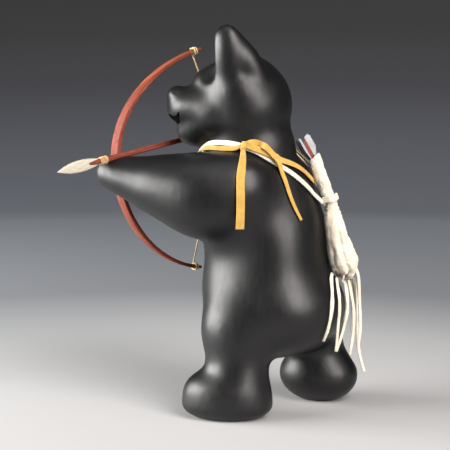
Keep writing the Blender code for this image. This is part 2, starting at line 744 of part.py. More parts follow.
def build_strap(route, facings, quiver_frame):
    """The strap, whose ends run into its turns round the quiver."""
    inner = QUIVER_RADIUS + LACE_GAP
    outer = inner + 2 * LEATHER
    ends = []
    for side in (-1, 1):
        turn = math.radians(-90 + 40 * side)
        middle = (inner + outer) / 2
        ends.append(quiver_frame @ Vector((middle * math.cos(turn), middle * math.sin(turn), 0)))
    route = [ends[0]] + route + [ends[1]]
    facings = [facings[0]] + facings + [facings[-1]]
    count = len(route)
    strap = strip("neck_strap", route, facings, [STRAP_WIDTH] * count, [LEATHER] * count, WHITE_HIDE)
    half = TIE_WIDTH / 2
    groove = TIE_WIDTH / 20
    profile = [(inner, half), (outer - groove, half), (outer, half / 2), (outer - groove, 0),
               (outer, -half / 2), (outer - groove, -half), (inner, -half)]
    turns = turned("strap_turns", profile, 16, WHITE_HIDE, closed=True)
    turns.matrix_world = quiver_frame
    boolean(strap, make_cutter(welded(turns)), "UNION")
    return strap


def build_lace(skin, band, facings, strap_route):
    near = (STRAP_WIDTH + LACE_WIDTH) / 2
    rolled = [min(1.0, 0.55 + 0.07 * min(i, len(band) - 1 - i)) for i in range(len(band))]
    widths = [LACE_BAND_WIDTH * share for share in rolled]
    lace = strip("yellow_lace", band, facings, widths, [LEATHER] * len(band), YELLOW_HIDE)

    tail_a, facings_a = hang(skin, TAIL_A_POINTS, LACE_WIDTH, 3)
    tail_a = climb_over(tail_a, facings_a, strap_route, near)
    widths = [LACE_WIDTH * (0.55 + 0.45 * min(i / 8, 1.0)) for i in range(len(tail_a))]
    first = strip("lace_tail_a", tail_a, facings_a, widths, [LEATHER] * len(tail_a), YELLOW_HIDE)

    tail_b, facings_b = hang(skin, TAIL_B_POINTS, LACE_WIDTH * 0.8, 3)
    tail_b = climb_over(tail_b, facings_b, strap_route, near)
    tail_b = climb_over(tail_b, facings_b, band[len(band) // 2:-3], near)
    last = len(tail_b) - 1
    start = LACE_WIDTH * 0.8
    widths = [start + (TAIL_TIP_WIDTH - start) * (i / last) ** 1.5 for i in range(last + 1)]
    second = strip("lace_tail_b", tail_b, facings_b, widths, [LEATHER] * len(tail_b), YELLOW_HIDE)

    middle, facing = skin.lay(place(*KNOT_POINT), 2 * LAYER + LACE_KNOT[2] / 2)
    knot = lump("lace_knot", middle, facing, LACE_KNOT)
    for piece in (knot, first, second):
        boolean(lace, make_cutter(piece), "UNION")
    return lace


# The quiver: a rolled sleeve whose upper part is straight and round, and whose foot is gathered.
# Each station: its middle in steps, then its half width across the back and its half depth away from the
# back, as multiples of the upper radius.
QUIVER = [
    ((-8, 33, 208), 0.96, 0.96),
    ((-8, 38, 193), 0.98, 0.98),
    ((-7, 42, 181), 1.0, 1.0),
    ((-7, 44, 173), 1.0, 1.0),
    ((-6, 47, 163), 1.32, 1.2),
    ((-4, 50, 146), 1.84, 1.52),
    ((-6, 55, 133), 2.4, 1.96),
    ((-8, 57, 125), 2.52, 2.16),
    ((-10, 58, 118), 1.92, 1.56),
    ((-10, 58, 114), 0.88, 0.68),
]
QUIVER_STRAIGHT = 4              # stations of the straight upper part, the last of them at the tie
# The spare arrow leans more than the quiver does: its nock, and where it crosses the quiver's middle line.
SPARE_NOCK = (-5, 24, 225)
SPARE_CROSSING = 0.0050          # below the mouth


def quiver_line(skin):
    """The middles of the quiver's stations and the way out from the back."""
    middles, outs = [], []
    for i, (spot, _, depth) in enumerate(QUIVER):
        stand_off = QUIVER_STAND_OFF if i < QUIVER_STRAIGHT else LACE_GAP
        middles.append(skin.clear(place(*spot), depth * QUIVER_RADIUS + stand_off))
        outs.append(skin.lay(middles[-1], 0.0)[1])
    top, tie = middles[0], middles[QUIVER_STRAIGHT - 1]
    for i in range(1, QUIVER_STRAIGHT - 1):
        middles[i] = top.lerp(tie, (middles[i] - top).length / (tie - top).length)
    return middles, evened(outs, 6)


def build_quiver(middles, outs):
    centres = smooth_route(middles, 2)
    facings = smooth_route(outs, 2)
    halves = smooth_route([Vector((width, depth, 0)) * QUIVER_RADIUS for _, width, depth in QUIVER], 2)
    straight = 2 * QUIVER_STRAIGHT
    rings = []
    for i, (centre, along, facing, half) in enumerate(zip(centres, tangents(centres), facings, halves)):
        across = along.cross(facing).normalized()
        out = across.cross(along)
        fold = FOLD_DEPTH * max(0.0, (i - straight) / (len(centres) - straight))
        for side in range(QUIVER_SIDES):
            turn = 2 * math.pi * side / QUIVER_SIDES
            pleat = 1 + fold * math.cos(QUIVER_FOLDS * turn)
            aside, away = half.x * pleat * math.cos(turn), half.y * pleat * math.sin(turn)
            rings.append(centre + across * aside + out * away)
    faces = []
    for level in range(len(centres) - 1):
        a, b = level * QUIVER_SIDES, (level + 1) * QUIVER_SIDES
        for side in range(QUIVER_SIDES):
            after = (side + 1) % QUIVER_SIDES
            faces.append((a + side, a + after, b + after, b + side))
    faces.append(tuple(range(len(rings) - QUIVER_SIDES, len(rings))))
    mesh = bpy.data.meshes.new("quiver")
    mesh.from_pydata(rings, [], faces)
    bm = bmesh.new()
    bm.from_mesh(mesh)
    bmesh.ops.recalc_face_normals(bm, faces=bm.faces)
    bm.to_mesh(mesh)
    bm.free()
    quiver = add("quiver", mesh, WHITE_HIDE)
    wall = quiver.modifiers.new("wall", "SOLIDIFY")
    wall.thickness = LEATHER
    wall.offset = -1.0


def build_spare_arrow(middles):
    top, tie = middles[0], middles[QUIVER_STRAIGHT - 1]
    crossing = top + (tie - top).normalized() * SPARE_CROSSING
    nock = place(*SPARE_NOCK)
    # Local z runs down the shaft from its nock, x away from the figure's left.
    frame = aim_matrix(nock, crossing - nock, Vector((-1, 0, 0)))
    radius = SHAFT_DIAMETER / 2
    end = SPARE_SHAFT_LENGTH
    shaft = turned("spare_arrow_shaft", [(0, end), (radius, end), (radius, 0), (0, 0)], 12, WOOD)
    shaft.matrix_world = frame
    size = (2 * SHAFT_DIAMETER, STRING_DIAMETER + 2 * FIT_GAP, 2 * NOCK_DEPTH)
    slot = block("spare_nock_slot", size, frame @ Matrix.Translation((0, 0, -NOCK_DEPTH)))
    boolean(shaft, slot, "DIFFERENCE")
    inner = radius + FIT_GAP
    rear, front = -VANE_OVERHANG, VANE_LENGTH - VANE_OVERHANG
    outline = [(inner, 0), (inner + VANE_HEIGHT, rear), (inner + VANE_HEIGHT, front * 0.45),
               (inner + VANE_HEIGHT * 0.15, front), (inner, front)]
    for i in range(3):
        vane = flat_outline(f"spare_arrow_vane_{i + 1}", outline[::-1], VANE_THICKNESS, FEATHER)
        vane.data.transform(Matrix.Rotation(math.radians(60 + 120 * i), 4, "Z"))
        vane.matrix_world = frame


FRINGE_POINTS = [
    [(1, 52, 117), (6, 51, 116), (12, 52, 111), (21, 56, 97), (26, 55, 81), (20, 50, 64)],
    [(-2, 55, 113), (3, 54, 110), (14, 59, 96), (13, 60, 77), (12, 60, 62), (10, 58, 54)],
    [(-10, 57, 111), (-12, 60, 110), (-12, 61, 103), (-7, 62, 88), (-5, 62, 75), (-5, 58, 60),
     (-6, 54, 50)],
    [(-14, 61, 112), (-16, 62, 107), (-17, 64, 96), (-16, 67, 83), (-16, 67, 71), (-16, 65, 58),
     (-16, 63, 46)],
    [(-21, 60, 116), (-25, 62, 110), (-26, 63, 99), (-26, 63, 81), (-26, 62, 64)],
    [(-17, 67, 120), (-19, 69, 115), (-20, 70, 108), (-20, 69, 92), (-20, 71, 78), (-20, 72, 68),
     (-20, 69, 52)],
    [(-21, 64, 113), (-25, 66, 104), (-27, 66, 84), (-28, 66, 66), (-28, 66, 50), (-30, 69, 39),
     (-31, 72, 29)],
]


def build_fringe(skin):
    for number, points in enumerate(FRINGE_POINTS, start=1):
        route, facings = hang(skin, points, FRINGE_WIDTH, 2)
        count = len(route)
        strip(f"fringe_{number}", route, facings, [FRINGE_WIDTH] * count, [LEATHER] * count, WHITE_HIDE)


def build():
    bear = build_bear()
    skin = Skin(bear)
    frame = arrow_frame()
    build_bow()
    build_string()
    build_arrow(frame)
    cut_paws(bear, frame)
    middles, outs = quiver_line(skin)
    build_quiver(middles, outs)
    build_spare_arrow(middles)
    down = (middles[QUIVER_STRAIGHT - 1] - middles[0]).normalized()
    tie = middles[QUIVER_STRAIGHT - 1] - down * (TIE_WIDTH / 2)
    # Local z runs down the quiver, x to the figure's right and y away from the back.
    tie_frame = aim_matrix(tie, down, outs[QUIVER_STRAIGHT - 1].cross(down))
    strap, strap_facings, band, band_facings = neck_routes(skin)
    build_strap(strap, strap_facings, tie_frame)
    build_lace(skin, band, band_facings, strap)
    build_fringe(skin)


build()
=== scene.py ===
"""The looks of the clay bear archer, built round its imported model.

The bear is the model's own masses of clay on a finer grid. Every fitting stands for its solid and has its
real surface: grained wood, twisted thread, napped leather, bone and feather. Metres, +Z up.
"""
from contextlib import contextmanager
from itertools import accumulate
from math import copysign, cos, exp, hypot, pi, radians, sin, sqrt

import bmesh
import bpy
from mathutils import Euler, Matrix, Vector, noise
from mathutils.bvhtree import BVHTree


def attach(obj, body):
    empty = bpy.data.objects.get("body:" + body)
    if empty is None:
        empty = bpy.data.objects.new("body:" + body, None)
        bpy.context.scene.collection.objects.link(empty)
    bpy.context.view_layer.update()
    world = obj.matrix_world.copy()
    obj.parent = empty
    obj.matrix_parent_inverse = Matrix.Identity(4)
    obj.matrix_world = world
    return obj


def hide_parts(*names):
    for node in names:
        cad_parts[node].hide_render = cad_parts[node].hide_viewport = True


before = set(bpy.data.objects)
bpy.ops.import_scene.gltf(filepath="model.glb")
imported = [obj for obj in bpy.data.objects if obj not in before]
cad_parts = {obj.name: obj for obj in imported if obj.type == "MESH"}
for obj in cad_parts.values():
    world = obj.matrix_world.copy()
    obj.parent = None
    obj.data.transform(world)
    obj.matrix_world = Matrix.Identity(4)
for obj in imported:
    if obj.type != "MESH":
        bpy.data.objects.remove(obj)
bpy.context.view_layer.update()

# The figure's layout, as in the model: steps of a 320th of its height, from its centre line.
BEAR_HEIGHT = 0.320
STEP = BEAR_HEIGHT / 320
BOX_MIDDLE = (0.1, -40.6)
CLAY_GRID = 0.0015

# Sizes of the fittings, as in the model.
SLOT_GAP = 0.0005
BOW_WIDTH, BOW_TIP_WIDTH = 0.0124, 0.0062
BOW_THICKNESS, BOW_TIP_THICKNESS = 0.0038, 0.0028
BOW_REACH = 0.0806
BOW_UPPER_RISE, BOW_LOWER_RISE = 0.0905, 0.097
BOW_UPPER_SWEEP, BOW_LOWER_SWEEP = radians(69), radians(84)
STRING_DIAMETER = 0.0013
STRING_TURNS = 2
STRING_INSET = 0.006
SHAFT_DIAMETER = 0.0046
SHAFT_TAPER = 0.009
SHAFT_POINT_RADIUS = 0.0013
NOCK_DEPTH = 0.0035
FIT_GAP = 0.0003
BLADE_LENGTH, BLADE_WIDTH, BLADE_THICKNESS = 0.0385, 0.0100, 0.0016
TANG_LENGTH = 0.008
LASHING_LENGTH = 0.0085
LASHING_AHEAD = 7.4
SPARE_SHAFT_LENGTH = 0.0300
VANE_LENGTH, VANE_OVERHANG, VANE_HEIGHT, VANE_THICKNESS = 0.0205, 0.0022, 0.0054, 0.0006
LEATHER = 0.0012
LACE_GAP = 0.0009
LAYER = LEATHER + LACE_GAP
STRAP_WIDTH, LACE_BAND_WIDTH, LACE_WIDTH = 0.0046, 0.0052, 0.0068
TAIL_TIP_WIDTH, FRINGE_WIDTH, TIE_WIDTH = 0.0026, 0.0030, 0.0060
QUIVER_RADIUS = 0.0050
QUIVER_STAND_OFF = 0.0046

# The camera, in the layout's steps.
EYE = (1094.3, 355.7, 291)
AIM_AT = (13.68, -37.59, 155)
LENS = 110.96


def place(x, y, z):
    return Vector((x - BOX_MIDDLE[0], y - BOX_MIDDLE[1], z)) * STEP


# Camera, lights and floor

def put_in_view(obj, spot, target):
    """Places a camera or a light, turned to look at the target."""
    obj.location = spot
    obj.rotation_euler = (target - obj.location).to_track_quat("-Z", "Y").to_euler()
    bpy.context.scene.collection.objects.link(obj)


def make_camera():
    data = bpy.data.cameras.new("camera")
    data.sensor_width = 36
    data.lens = LENS
    data.clip_start = 0.01
    camera = bpy.data.objects.new("camera", data)
    put_in_view(camera, place(*EYE), place(*AIM_AT))
    bpy.context.scene.camera = camera


def softbox(name, azimuth, height, distance, size, watts, colour, aim_height):
    """A rectangular soft light. Azimuth 0 is in front of the bear, 90 on its left."""
    data = bpy.data.lights.new(name, "AREA")
    data.shape = "RECTANGLE"
    data.size, data.size_y = size
    data.energy = watts
    data.color = colour
    turn = radians(azimuth)
    spot = (distance * sin(turn), -distance * cos(turn), height)
    put_in_view(bpy.data.objects.new(name, data), spot, Vector((0, 0, aim_height)))


WORLD_COLOUR, WORLD_STRENGTH = (0.55, 0.57, 0.62, 1), 0.16


def make_lights():
    softbox("left_softbox", 25, 0.41, 1.25, (1.25, 0.74), 53, (1.0, 0.99, 0.97), 0.16)
    softbox("right_softbox", 146, 0.92, 1.40, (0.9, 1.6), 52, (1.0, 0.94, 0.92), 0.15)
    softbox("floor_light", 95, 2.1, 0.7, (1.6, 1.6), 10, (1.0, 1.0, 1.0), 0.0)
    world = bpy.data.worlds.new("studio")
    world.use_nodes = True
    background = world.node_tree.nodes["Background"].inputs
    background["Color"].default_value = WORLD_COLOUR
    background["Strength"].default_value = WORLD_STRENGTH
    bpy.context.scene.world = world
    bpy.context.scene.view_settings.view_transform = "Standard"


# Node materials

class Nodes:
    """A short way to write a node material. Each value is a socket, a number or three numbers."""

    def __init__(self, name):
        self.material = bpy.data.materials.new(name)
        self.material.use_nodes = True
        self.tree = self.material.node_tree
        self.shader = self.tree.nodes["Principled BSDF"]

    def put(self, value, socket):
        if isinstance(value, bpy.types.NodeSocket):
            self.tree.links.new(value, socket)
        else:
            socket.default_value = (*value, 1) if socket.type == "RGBA" else value

    def node(self, kind, inputs, **settings):
        node = self.tree.nodes.new(kind)
        for name, value in settings.items():
            setattr(node, name, value)
        for name, value in inputs.items():
            self.put(value, node.inputs[name])
        return node

    def coordinates(self, scale=None, source="Object"):
        """A place on the piece in metres, or in a UV map, with each axis scaled."""
        if source == "Object":
            vector = self.node("ShaderNodeTexCoord", {}).outputs["Object"]
        else:
            vector = self.node("ShaderNodeUVMap", {}, uv_map=source).outputs["UV"]
        if scale is None:
            return vector
        return self.node("ShaderNodeMapping", {"Vector": vector, "Scale": scale}).outputs["Vector"]

    def noise(self, scale, detail=4.0, roughness=0.55, distortion=0.0, source="Object"):
        """Noise with one scale, or with one for each axis."""
        axes = scale if isinstance(scale, tuple) else None
        inputs = {"Vector": self.coordinates(axes, source), "Scale": 1.0 if axes else scale, "Detail": detail,
                  "Roughness": roughness, "Distortion": distortion}
        return self.node("ShaderNodeTexNoise", inputs).outputs["Fac"]

    def ramp(self, value, stops):
        """The value as a colour. Stops are (position, colour)."""
        node = self.node("ShaderNodeValToRGB", {"Fac": value})
        elements = node.color_ramp.elements
        while len(elements) < len(stops):
            elements.new(0.5)
        for element, (position, colour) in zip(elements, stops):
            element.position = position
            element.color = (*colour, 1)
        return node.outputs["Color"]

    def mix(self, share, first, second, kind="MIX"):
        inputs = {0: share, 6: first, 7: second}
        return self.node("ShaderNodeMix", inputs, data_type="RGBA", blend_type=kind).outputs[2]

    def arithmetic(self, operation, first, second):
        return self.node("ShaderNodeMath", {0: first, 1: second}, operation=operation).outputs[0]

    def plus(self, first, second):
        return self.arithmetic("ADD", first, second)

    def minus(self, first, second):
        return self.arithmetic("SUBTRACT", first, second)

    def times(self, first, second):
        return self.arithmetic("MULTIPLY", first, second)

    def measure(self, operation, *vectors):
        """The length of a vector, or the dot product of two."""
        node = self.node("ShaderNodeVectorMath", dict(enumerate(vectors)), operation=operation)
        return node.outputs["Value"]

    def value_range(self, value, low, high, from_low=0.3, from_high=0.7):
        inputs = {0: value, 1: from_low, 2: from_high, 3: low, 4: high}
        return self.node("ShaderNodeMapRange", inputs).outputs[0]

    def where(self, value, none, full):
        """Black where the value is below the first number, white where it is above the second."""
        return self.ramp(value, [(none, (0, 0, 0)), (full, (1, 1, 1))])

    def bump(self, height, strength, distance, below=None):
        inputs = {"Height": height, "Strength": strength, "Distance": distance}
        if below is not None:
            inputs["Normal"] = below
        return self.node("ShaderNodeBump", inputs).outputs["Normal"]

    def finish(self, colour, roughness, normal=None, **numbers):
        self.put(colour, self.shader.inputs["Base Color"])
        self.put(roughness, self.shader.inputs["Roughness"])
        if normal is not None:
            self.put(normal, self.shader.inputs["Normal"])
        for name, number in numbers.items():
            self.put(number, self.shader.inputs[name.replace("_", " ")])
        return self.material


def darker(colour, share):
    return tuple(part * share for part in colour)


def clay_material():
    """Black burnished clay: satin, slightly cloudy, with fine rubbing marks and a few scratches."""
    n = Nodes("burnished_clay")
    clouds = n.noise(22, 5, 0.6)
    streaks = n.noise((260, 260, 46), 4, 0.6, 0.4)
    colour = n.mix(clouds, (0.0026, 0.0026, 0.0029), (0.0056, 0.0055, 0.0055))
    specks = n.where(n.noise(420, 2, 0.5), 0.70, 0.78)
    colour = n.mix(n.times(specks, 0.25), colour, (0.035, 0.033, 0.030))
    roughness = n.plus(n.value_range(clouds, 0.37, 0.45), n.value_range(streaks, -0.035, 0.035))
    grain = n.plus(n.times(n.noise(900, 3, 0.6), 0.35), n.times(streaks, 0.65))
    normal = n.bump(grain, 0.16, 0.0004)
    normal = n.bump(n.noise(55, 2, 0.5), 0.12, 0.0011, normal)
    scratches = n.where(n.noise((30, 420, 260), 2, 0.5, 0.2), 0.30, 0.335)
    return n.finish(colour, roughness, n.bump(scratches, 0.05, 0.0003, normal), IOR=1.46)


def dull_clay_with_painted_shade_material():
    """The same clay where no stone has burnished it: dull, and darker in colour as painted shade in the mouth
    and nostrils.
    """
    n = Nodes("dull_clay_with_painted_shade")
    grain = n.noise(1400, 4, 0.6)
    colour = n.mix(grain, (0.0020, 0.0020, 0.0022), (0.0045, 0.0044, 0.0044))
    return n.finish(colour, 0.85, n.bump(grain, 0.4, 0.0003), Specular_IOR_Level=0.15)


def wood_material():
    """Wood stained red, its grain along the piece. The UV map is in metres, along and round."""
    n = Nodes("red_wood")
    fibres = n.noise((45, 1100, 1), 5, 0.65, 0.3, "grain")
    bands = n.noise((12, 420, 1), 3, 0.5, 0.6, "grain")
    pores = n.where(n.noise((170, 1900, 1), 2, 0.5, source="grain"), 0.60, 0.68)
    colour = n.ramp(bands, [(0.30, (0.12, 0.020, 0.010)), (0.50, (0.23, 0.044, 0.021)),
                            (0.68, (0.37, 0.098, 0.038))])
    colour = n.mix(n.times(n.where(fibres, 0.35, 0.62), 0.62), colour, (0.13, 0.022, 0.012))
    colour = n.mix(n.times(pores, 0.6), colour, (0.10, 0.020, 0.012))
    roughness = n.value_range(n.noise(45, 3, source="grain"), 0.56, 0.72)
    return n.finish(colour, roughness, n.bump(n.minus(fibres, pores), 0.8, 0.0005), Specular_IOR_Level=0.3)


def bone_material():
    n = Nodes("bone")
    streaks = n.noise((90, 1300, 1), 4, 0.6, 0.3, "grain")
    stains = n.where(n.noise(120, 4, 0.6), 0.52, 0.72)
    colour = n.ramp(streaks, [(0.3, (0.40, 0.36, 0.26)), (0.55, (0.50, 0.47, 0.38)),
                              (0.75, (0.58, 0.56, 0.48))])
    colour = n.mix(n.times(stains, 0.35), colour, (0.70, 0.58, 0.36))
    return n.finish(colour, n.value_range(streaks, 0.34, 0.48), n.bump(streaks, 0.25, 0.0002),
                    Subsurface_Weight=0.12, Subsurface_Scale=0.002)


def thread_material(name, pale, brown):
    n = Nodes(name)
    fibres = n.noise((400, 3000, 1), 4, 0.6, source="grain")
    colour = n.mix(n.value_range(n.noise(260, 3), 0.0, 1.0, 0.42, 0.72), pale, brown)
    colour = n.mix(n.times(fibres, 0.35), colour, darker(brown, 0.55))
    return n.finish(colour, 0.72, n.bump(fibres, 0.5, 0.0002), Sheen_Weight=0.15, Sheen_Roughness=0.5)


def hide_material(name, light, deep, stain, nap):
    """Soft napped leather: fine fibres, small darker pits, darker stains, and painted shade in the punched
    holes.
    """
    n = Nodes(name)
    fibres = n.noise(2600, 4, 0.7, 0.5)
    mottle = n.noise(190, 4, 0.6)
    pits = n.where(n.noise(950, 3, 0.6), 0.60, 0.72)
    colour = n.mix(n.value_range(mottle, 0.0, 1.0, 0.36, 0.66), light, deep)
    colour = n.mix(n.times(n.where(n.noise(38, 3, 0.5), 0.52, 0.74), 0.30), colour, stain)
    colour = n.mix(n.times(pits, 0.40), colour, darker(deep, 0.6))
    colour = n.mix(n.times(fibres, 0.16), colour, darker(light, 1.12))
    hollow = n.node("ShaderNodeAttribute", {}, attribute_name="hollow").outputs["Fac"]
    # Painted shade: near black brown where a punched hole would show the shadowed inside.
    colour = n.mix(hollow, colour, (0.035, 0.020, 0.010))
    height = n.minus(n.plus(n.times(mottle, 0.8), n.times(fibres, 0.5)), n.times(pits, 0.8))
    return n.finish(colour, 0.93, n.bump(height, nap, 0.0005), Sheen_Weight=0.28, Sheen_Roughness=0.45)


def feather_material():
    n = Nodes("grey_feather")
    barbs = n.noise((2600, 90, 1), 3, 0.6, 0.2, "grain")
    colour = n.mix(barbs, (0.27, 0.27, 0.28), (0.52, 0.52, 0.51))
    clouds = n.value_range(n.noise(160, 3), 0.0, 0.55, 0.4, 0.75)
    colour = n.mix(clouds, colour, (0.20, 0.20, 0.22))
    return n.finish(colour, 0.7, n.bump(barbs, 0.5, 0.0002), Sheen_Weight=0.2)


# The floor's colours, each at a share of this range in metres from the middle. They hold painted light: a
# pale pool round the bear, and painted shade darkening up the backdrop.
FLOOR_RANGE = 4.0
FLOOR_COLOURS_WITH_PAINTED_LIGHT = [
    (0.0, (0.41, 0.41, 0.41)), (0.05, (0.40, 0.40, 0.40)), (0.085, (0.36, 0.365, 0.37)),
    (0.15, (0.210, 0.222, 0.240)), (0.35, (0.280, 0.308, 0.345)), (0.45, (0.166, 0.180, 0.212)),
    (0.57, (0.072, 0.074, 0.084)), (0.64, (0.049, 0.049, 0.050)), (0.72, (0.037, 0.036, 0.034)),
]
TOWARDS_CAMERA = (0.946, 0.326, 0)


def floor_material():
    """Painted light and shade: a pale pool round the bear, greyer up the backdrop, and painted shade in front
    of the camera.
    """
    n = Nodes("floor")
    away = n.measure("LENGTH", n.coordinates((1, 1, 3.2)))
    colour = n.ramp(n.value_range(away, 0.0, 1.0, 0.0, FLOOR_RANGE), FLOOR_COLOURS_WITH_PAINTED_LIGHT)
    # Painted shade: the floor turns darker towards the camera.
    nearer = n.measure("DOT_PRODUCT", n.coordinates(), TOWARDS_CAMERA)
    shade = n.value_range(nearer, 1.0, 0.15, 0.26, 0.60)
    return n.finish(n.mix(1.0, colour, shade, "MULTIPLY"), 0.75)


def make_floor():
    """A round floor that curves up into a backdrop on every side."""
    flat, bend, top = 1.55, 0.9, 2.6
    profile = [(0, 0, 0), (0.7, 0, 0), (flat, 0, 0)]
    profile += [(flat + bend * sin(radians(a)), 0, bend * (1 - cos(radians(a)))) for a in range(6, 91, 6)]
    profile.append((flat + bend, 0, top))
    mesh = bpy.data.meshes.new("floor")
    mesh.from_pydata(profile, [(i, i + 1) for i in range(len(profile) - 1)], [])
    mesh.materials.append(floor_material())
    floor = solid("floor", mesh)
    turn = floor.modifiers.new("turn", "SCREW")
    turn.steps = turn.render_steps = 128
    turn.use_merge_vertices = True
    turn.merge_threshold = 0.0001
    turn.use_smooth_shade = True


# Pieces

def solid(name, mesh):
    obj = bpy.data.objects.new(name, mesh)
    bpy.context.scene.collection.objects.link(obj)
    return obj


def add(name, mesh, mat, slot, *nodes):
    """A finished piece that rides on the body and stands for nodes of the model."""
    obj = solid(name, mesh)
    mesh.materials.clear()
    mesh.materials.append(mat)
    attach(obj, "root")
    if nodes:
        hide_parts(*nodes)
    return obj


def evaluated_mesh(obj, *tools):
    """The object's mesh with its modifiers applied. The object and its tools are removed."""
    bpy.context.view_layer.update()
    graph = bpy.context.evaluated_depsgraph_get()
    mesh = bpy.data.meshes.new_from_object(obj.evaluated_get(graph))
    for used in (obj, *tools):
        bpy.data.objects.remove(used)
    return mesh


@contextmanager
def drawn_into(mesh):
    """Something to draw in, which becomes the mesh's shape at the end."""
    drawing = bmesh.new()
    yield drawing
    drawing.to_mesh(mesh)
    drawing.free()


def moved(mesh, matrix):
    mesh.transform(matrix)
    return mesh


def aim_matrix(start, direction, across):
    z = direction.normalized()
    y = z.cross(across).normalized()
    matrix = Matrix((y.cross(z), y, z)).transposed().to_4x4()
    matrix.translation = start
    return matrix


def clamped(value):
    return min(max(value, 0.0), 1.0)


def swollen(value, power):
    """A sine or cosine, with its circle swollen towards a square."""
    return copysign(abs(value) ** power, value)


def turns(sides):
    return [2 * pi * i / sides for i in range(sides)]


def round_spot(radius, turn, height):
    return Vector((radius * cos(turn), radius * sin(turn), height))


def smooth_route(points, pieces):
    ends = [points[0] * 2 - points[1]] + list(points) + [points[-1] * 2 - points[-2]]
    route = []
    for before, start, end, after in zip(ends, ends[1:], ends[2:], ends[3:]):
        for i in range(pieces):
            t = i / pieces
            route.append(0.5 * (2 * start + (end - before) * t
                                + (2 * before - 5 * start + 4 * end - after) * t ** 2
                                + (3 * start - before - 3 * end + after) * t ** 3))
    return route + [points[-1].copy()]


def tangents(route):
    spans = [(b - a) for a, b in zip(route, route[1:])]
    middles = [(a.normalized() + b.normalized()) for a, b in zip(spans, spans[1:])]
    return [v.normalized() for v in [spans[0]] + middles + [spans[-1]]]


def distances(route):
    """How far along the route each of its points is."""
    return list(accumulate([0.0] + [(b - a).length for a, b in zip(route, route[1:])]))


def respaced(route, facings, spacing):
    """The route and its facings at even spacing."""
    walked = distances(route)
    count = max(4, round(walked[-1] / spacing))
    points, turned_to = [], []
    span = 0
    for i in range(count + 1):
        target = walked[-1] * i / count
        while span < len(route) - 2 and walked[span + 1] < target:
            span += 1
        share = clamped((target - walked[span]) / max((route[span + 1] - route[span]).length, 1e-9))
        points.append(route[span].lerp(route[span + 1], share))
        turned_to.append(facings[span].lerp(facings[span + 1], share).normalized())
    return points, turned_to


def loft(name, rings, uvs=None, open_start=False):
    """A skin over rings of points. uvs has for each ring how far along it is, and its length round."""
    mesh = bpy.data.meshes.new(name)
    count = len(rings[0])
    last = (len(rings) - 1) * count
    faces = [(a + side, a + (side + 1) % count, a + count + (side + 1) % count, a + count + side)
             for a in range(0, last, count) for side in range(count)]
    if not open_start:
        faces.append(tuple(range(count))[::-1])
    faces.append(tuple(range(last, last + count)))
    mesh.from_pydata([point for ring in rings for point in ring], [], faces)
    if uvs is not None:
        layer = mesh.uv_layers.new(name="grain")
        for face, polygon in enumerate(mesh.polygons):
            seam = count if face % count == count - 1 else 0
            for loop, vertex in zip(polygon.loop_indices, polygon.vertices):
                along, around = uvs[vertex // count]
                layer.data[loop].uv = (along, around * (vertex % count or seam) / count)
    with drawn_into(mesh) as drawing:
        drawing.from_mesh(mesh)
        bmesh.ops.recalc_face_normals(drawing, faces=drawing.faces)
    mesh.shade_smooth()
    return mesh


def joined(name, meshes):
    result = bpy.data.meshes.new(name)
    with drawn_into(result) as drawing:
        for mesh in meshes:
            drawing.from_mesh(mesh)
    return result


def box_mesh(low, high):
    mesh = bpy.data.meshes.new("box")
    shape = Matrix.Translation((low + high) / 2) @ Matrix.Diagonal((*(high - low), 1))
    with drawn_into(mesh) as drawing:
        bmesh.ops.create_cube(drawing, size=1.0, matrix=shape)
    return mesh


def cut(mesh, cutters, sharp):
    """The mesh with each cutter taken away. Its edges are sharp above so many degrees."""
    body = solid("cut_body", mesh)
    tools = [solid("cut_tool", cutter) for cutter in cutters]
    for tool in tools:
        modifier = body.modifiers.new("cut", "BOOLEAN")
        modifier.object = tool
        modifier.operation = "DIFFERENCE"
        modifier.solver = "EXACT"
    result = evaluated_mesh(body, *tools)
    result.shade_smooth()
    result.set_sharp_from_angle(angle=radians(sharp))
    return result


def wobble(point, frequency, seed):
    """A smooth random number from -1 to 1 at a place."""
    return noise.noise(point * frequency + Vector((seed, seed * 1.7, seed * 0.3)))


# The clay bear

# Each mass: its place, its half sizes (across, front to back, up) and its turn in degrees.
TRUNK_AND_LEGS = [
    ((0, 10, 88), (57, 53, 42), 0),  # rump
    ((0, -9, 103), (53, 52, 60), 0),  # belly
    ((0, 9, 130), (49, 37, 46), 0),  # small of the back
    ((0, -9, 156), (52, 53, 46), 0),  # chest
    ((2, -8, 189), (47, 41, 30), 0),  # shoulders
    ((6, -18, 219), (34, 38, 34), 0),  # neck
    ((36, -17, 72), (29, 34, 38), 0),  # left leg and foot
    ((40, -18, 36), (24, 27, 28), 0),
    ((43, -25, 20), (28, 38, 23), 10),
    ((43, -25, 9), (28, 39, 12), 10),
    ((-36, 22, 68), (28, 31, 30), 0),  # right leg and foot
    ((-42, 28, 37), (23, 25, 26), 0),
    ((-43, 28, 22), (28, 36, 25), -6),
]

# The head has its own axes: left, forward and up from the middle of the skull, turned to the bear's left.
HEAD_CENTRE = (8, -22, 249)
HEAD_TURN = 14.0
# Each mass: its place, its half sizes and its tilt in degrees.
HEAD = [
    ((0, -1, 6), (39, 38, 39), 0),  # skull
    ((0, 4, 20), (40, 30, 28), 0),  # temples
    ((0, 20, 22), (25, 24, 18), 0),  # brow
    ((0, 23, 12), (27, 20, 17), 0),  # eye sockets, filled
    ((0, 40, 6), (22, 25, 15), 0),  # muzzle
    ((0, 36, 6), (26, 27, 18), 15),  # muzzle's root
    ((0, 56, 14), (16, 9, 8), 0),  # nose
    ((0, 50, -1), (17, 14, 8), 0),  # lip
    ((0, 36, -16), (18, 21, 14), 0),  # jaw
    ((0, 38, -10), (21, 17, 14), 0),  # jowls
    ((0, 24, 1), (32, 25, 25), 0),  # cheeks
]
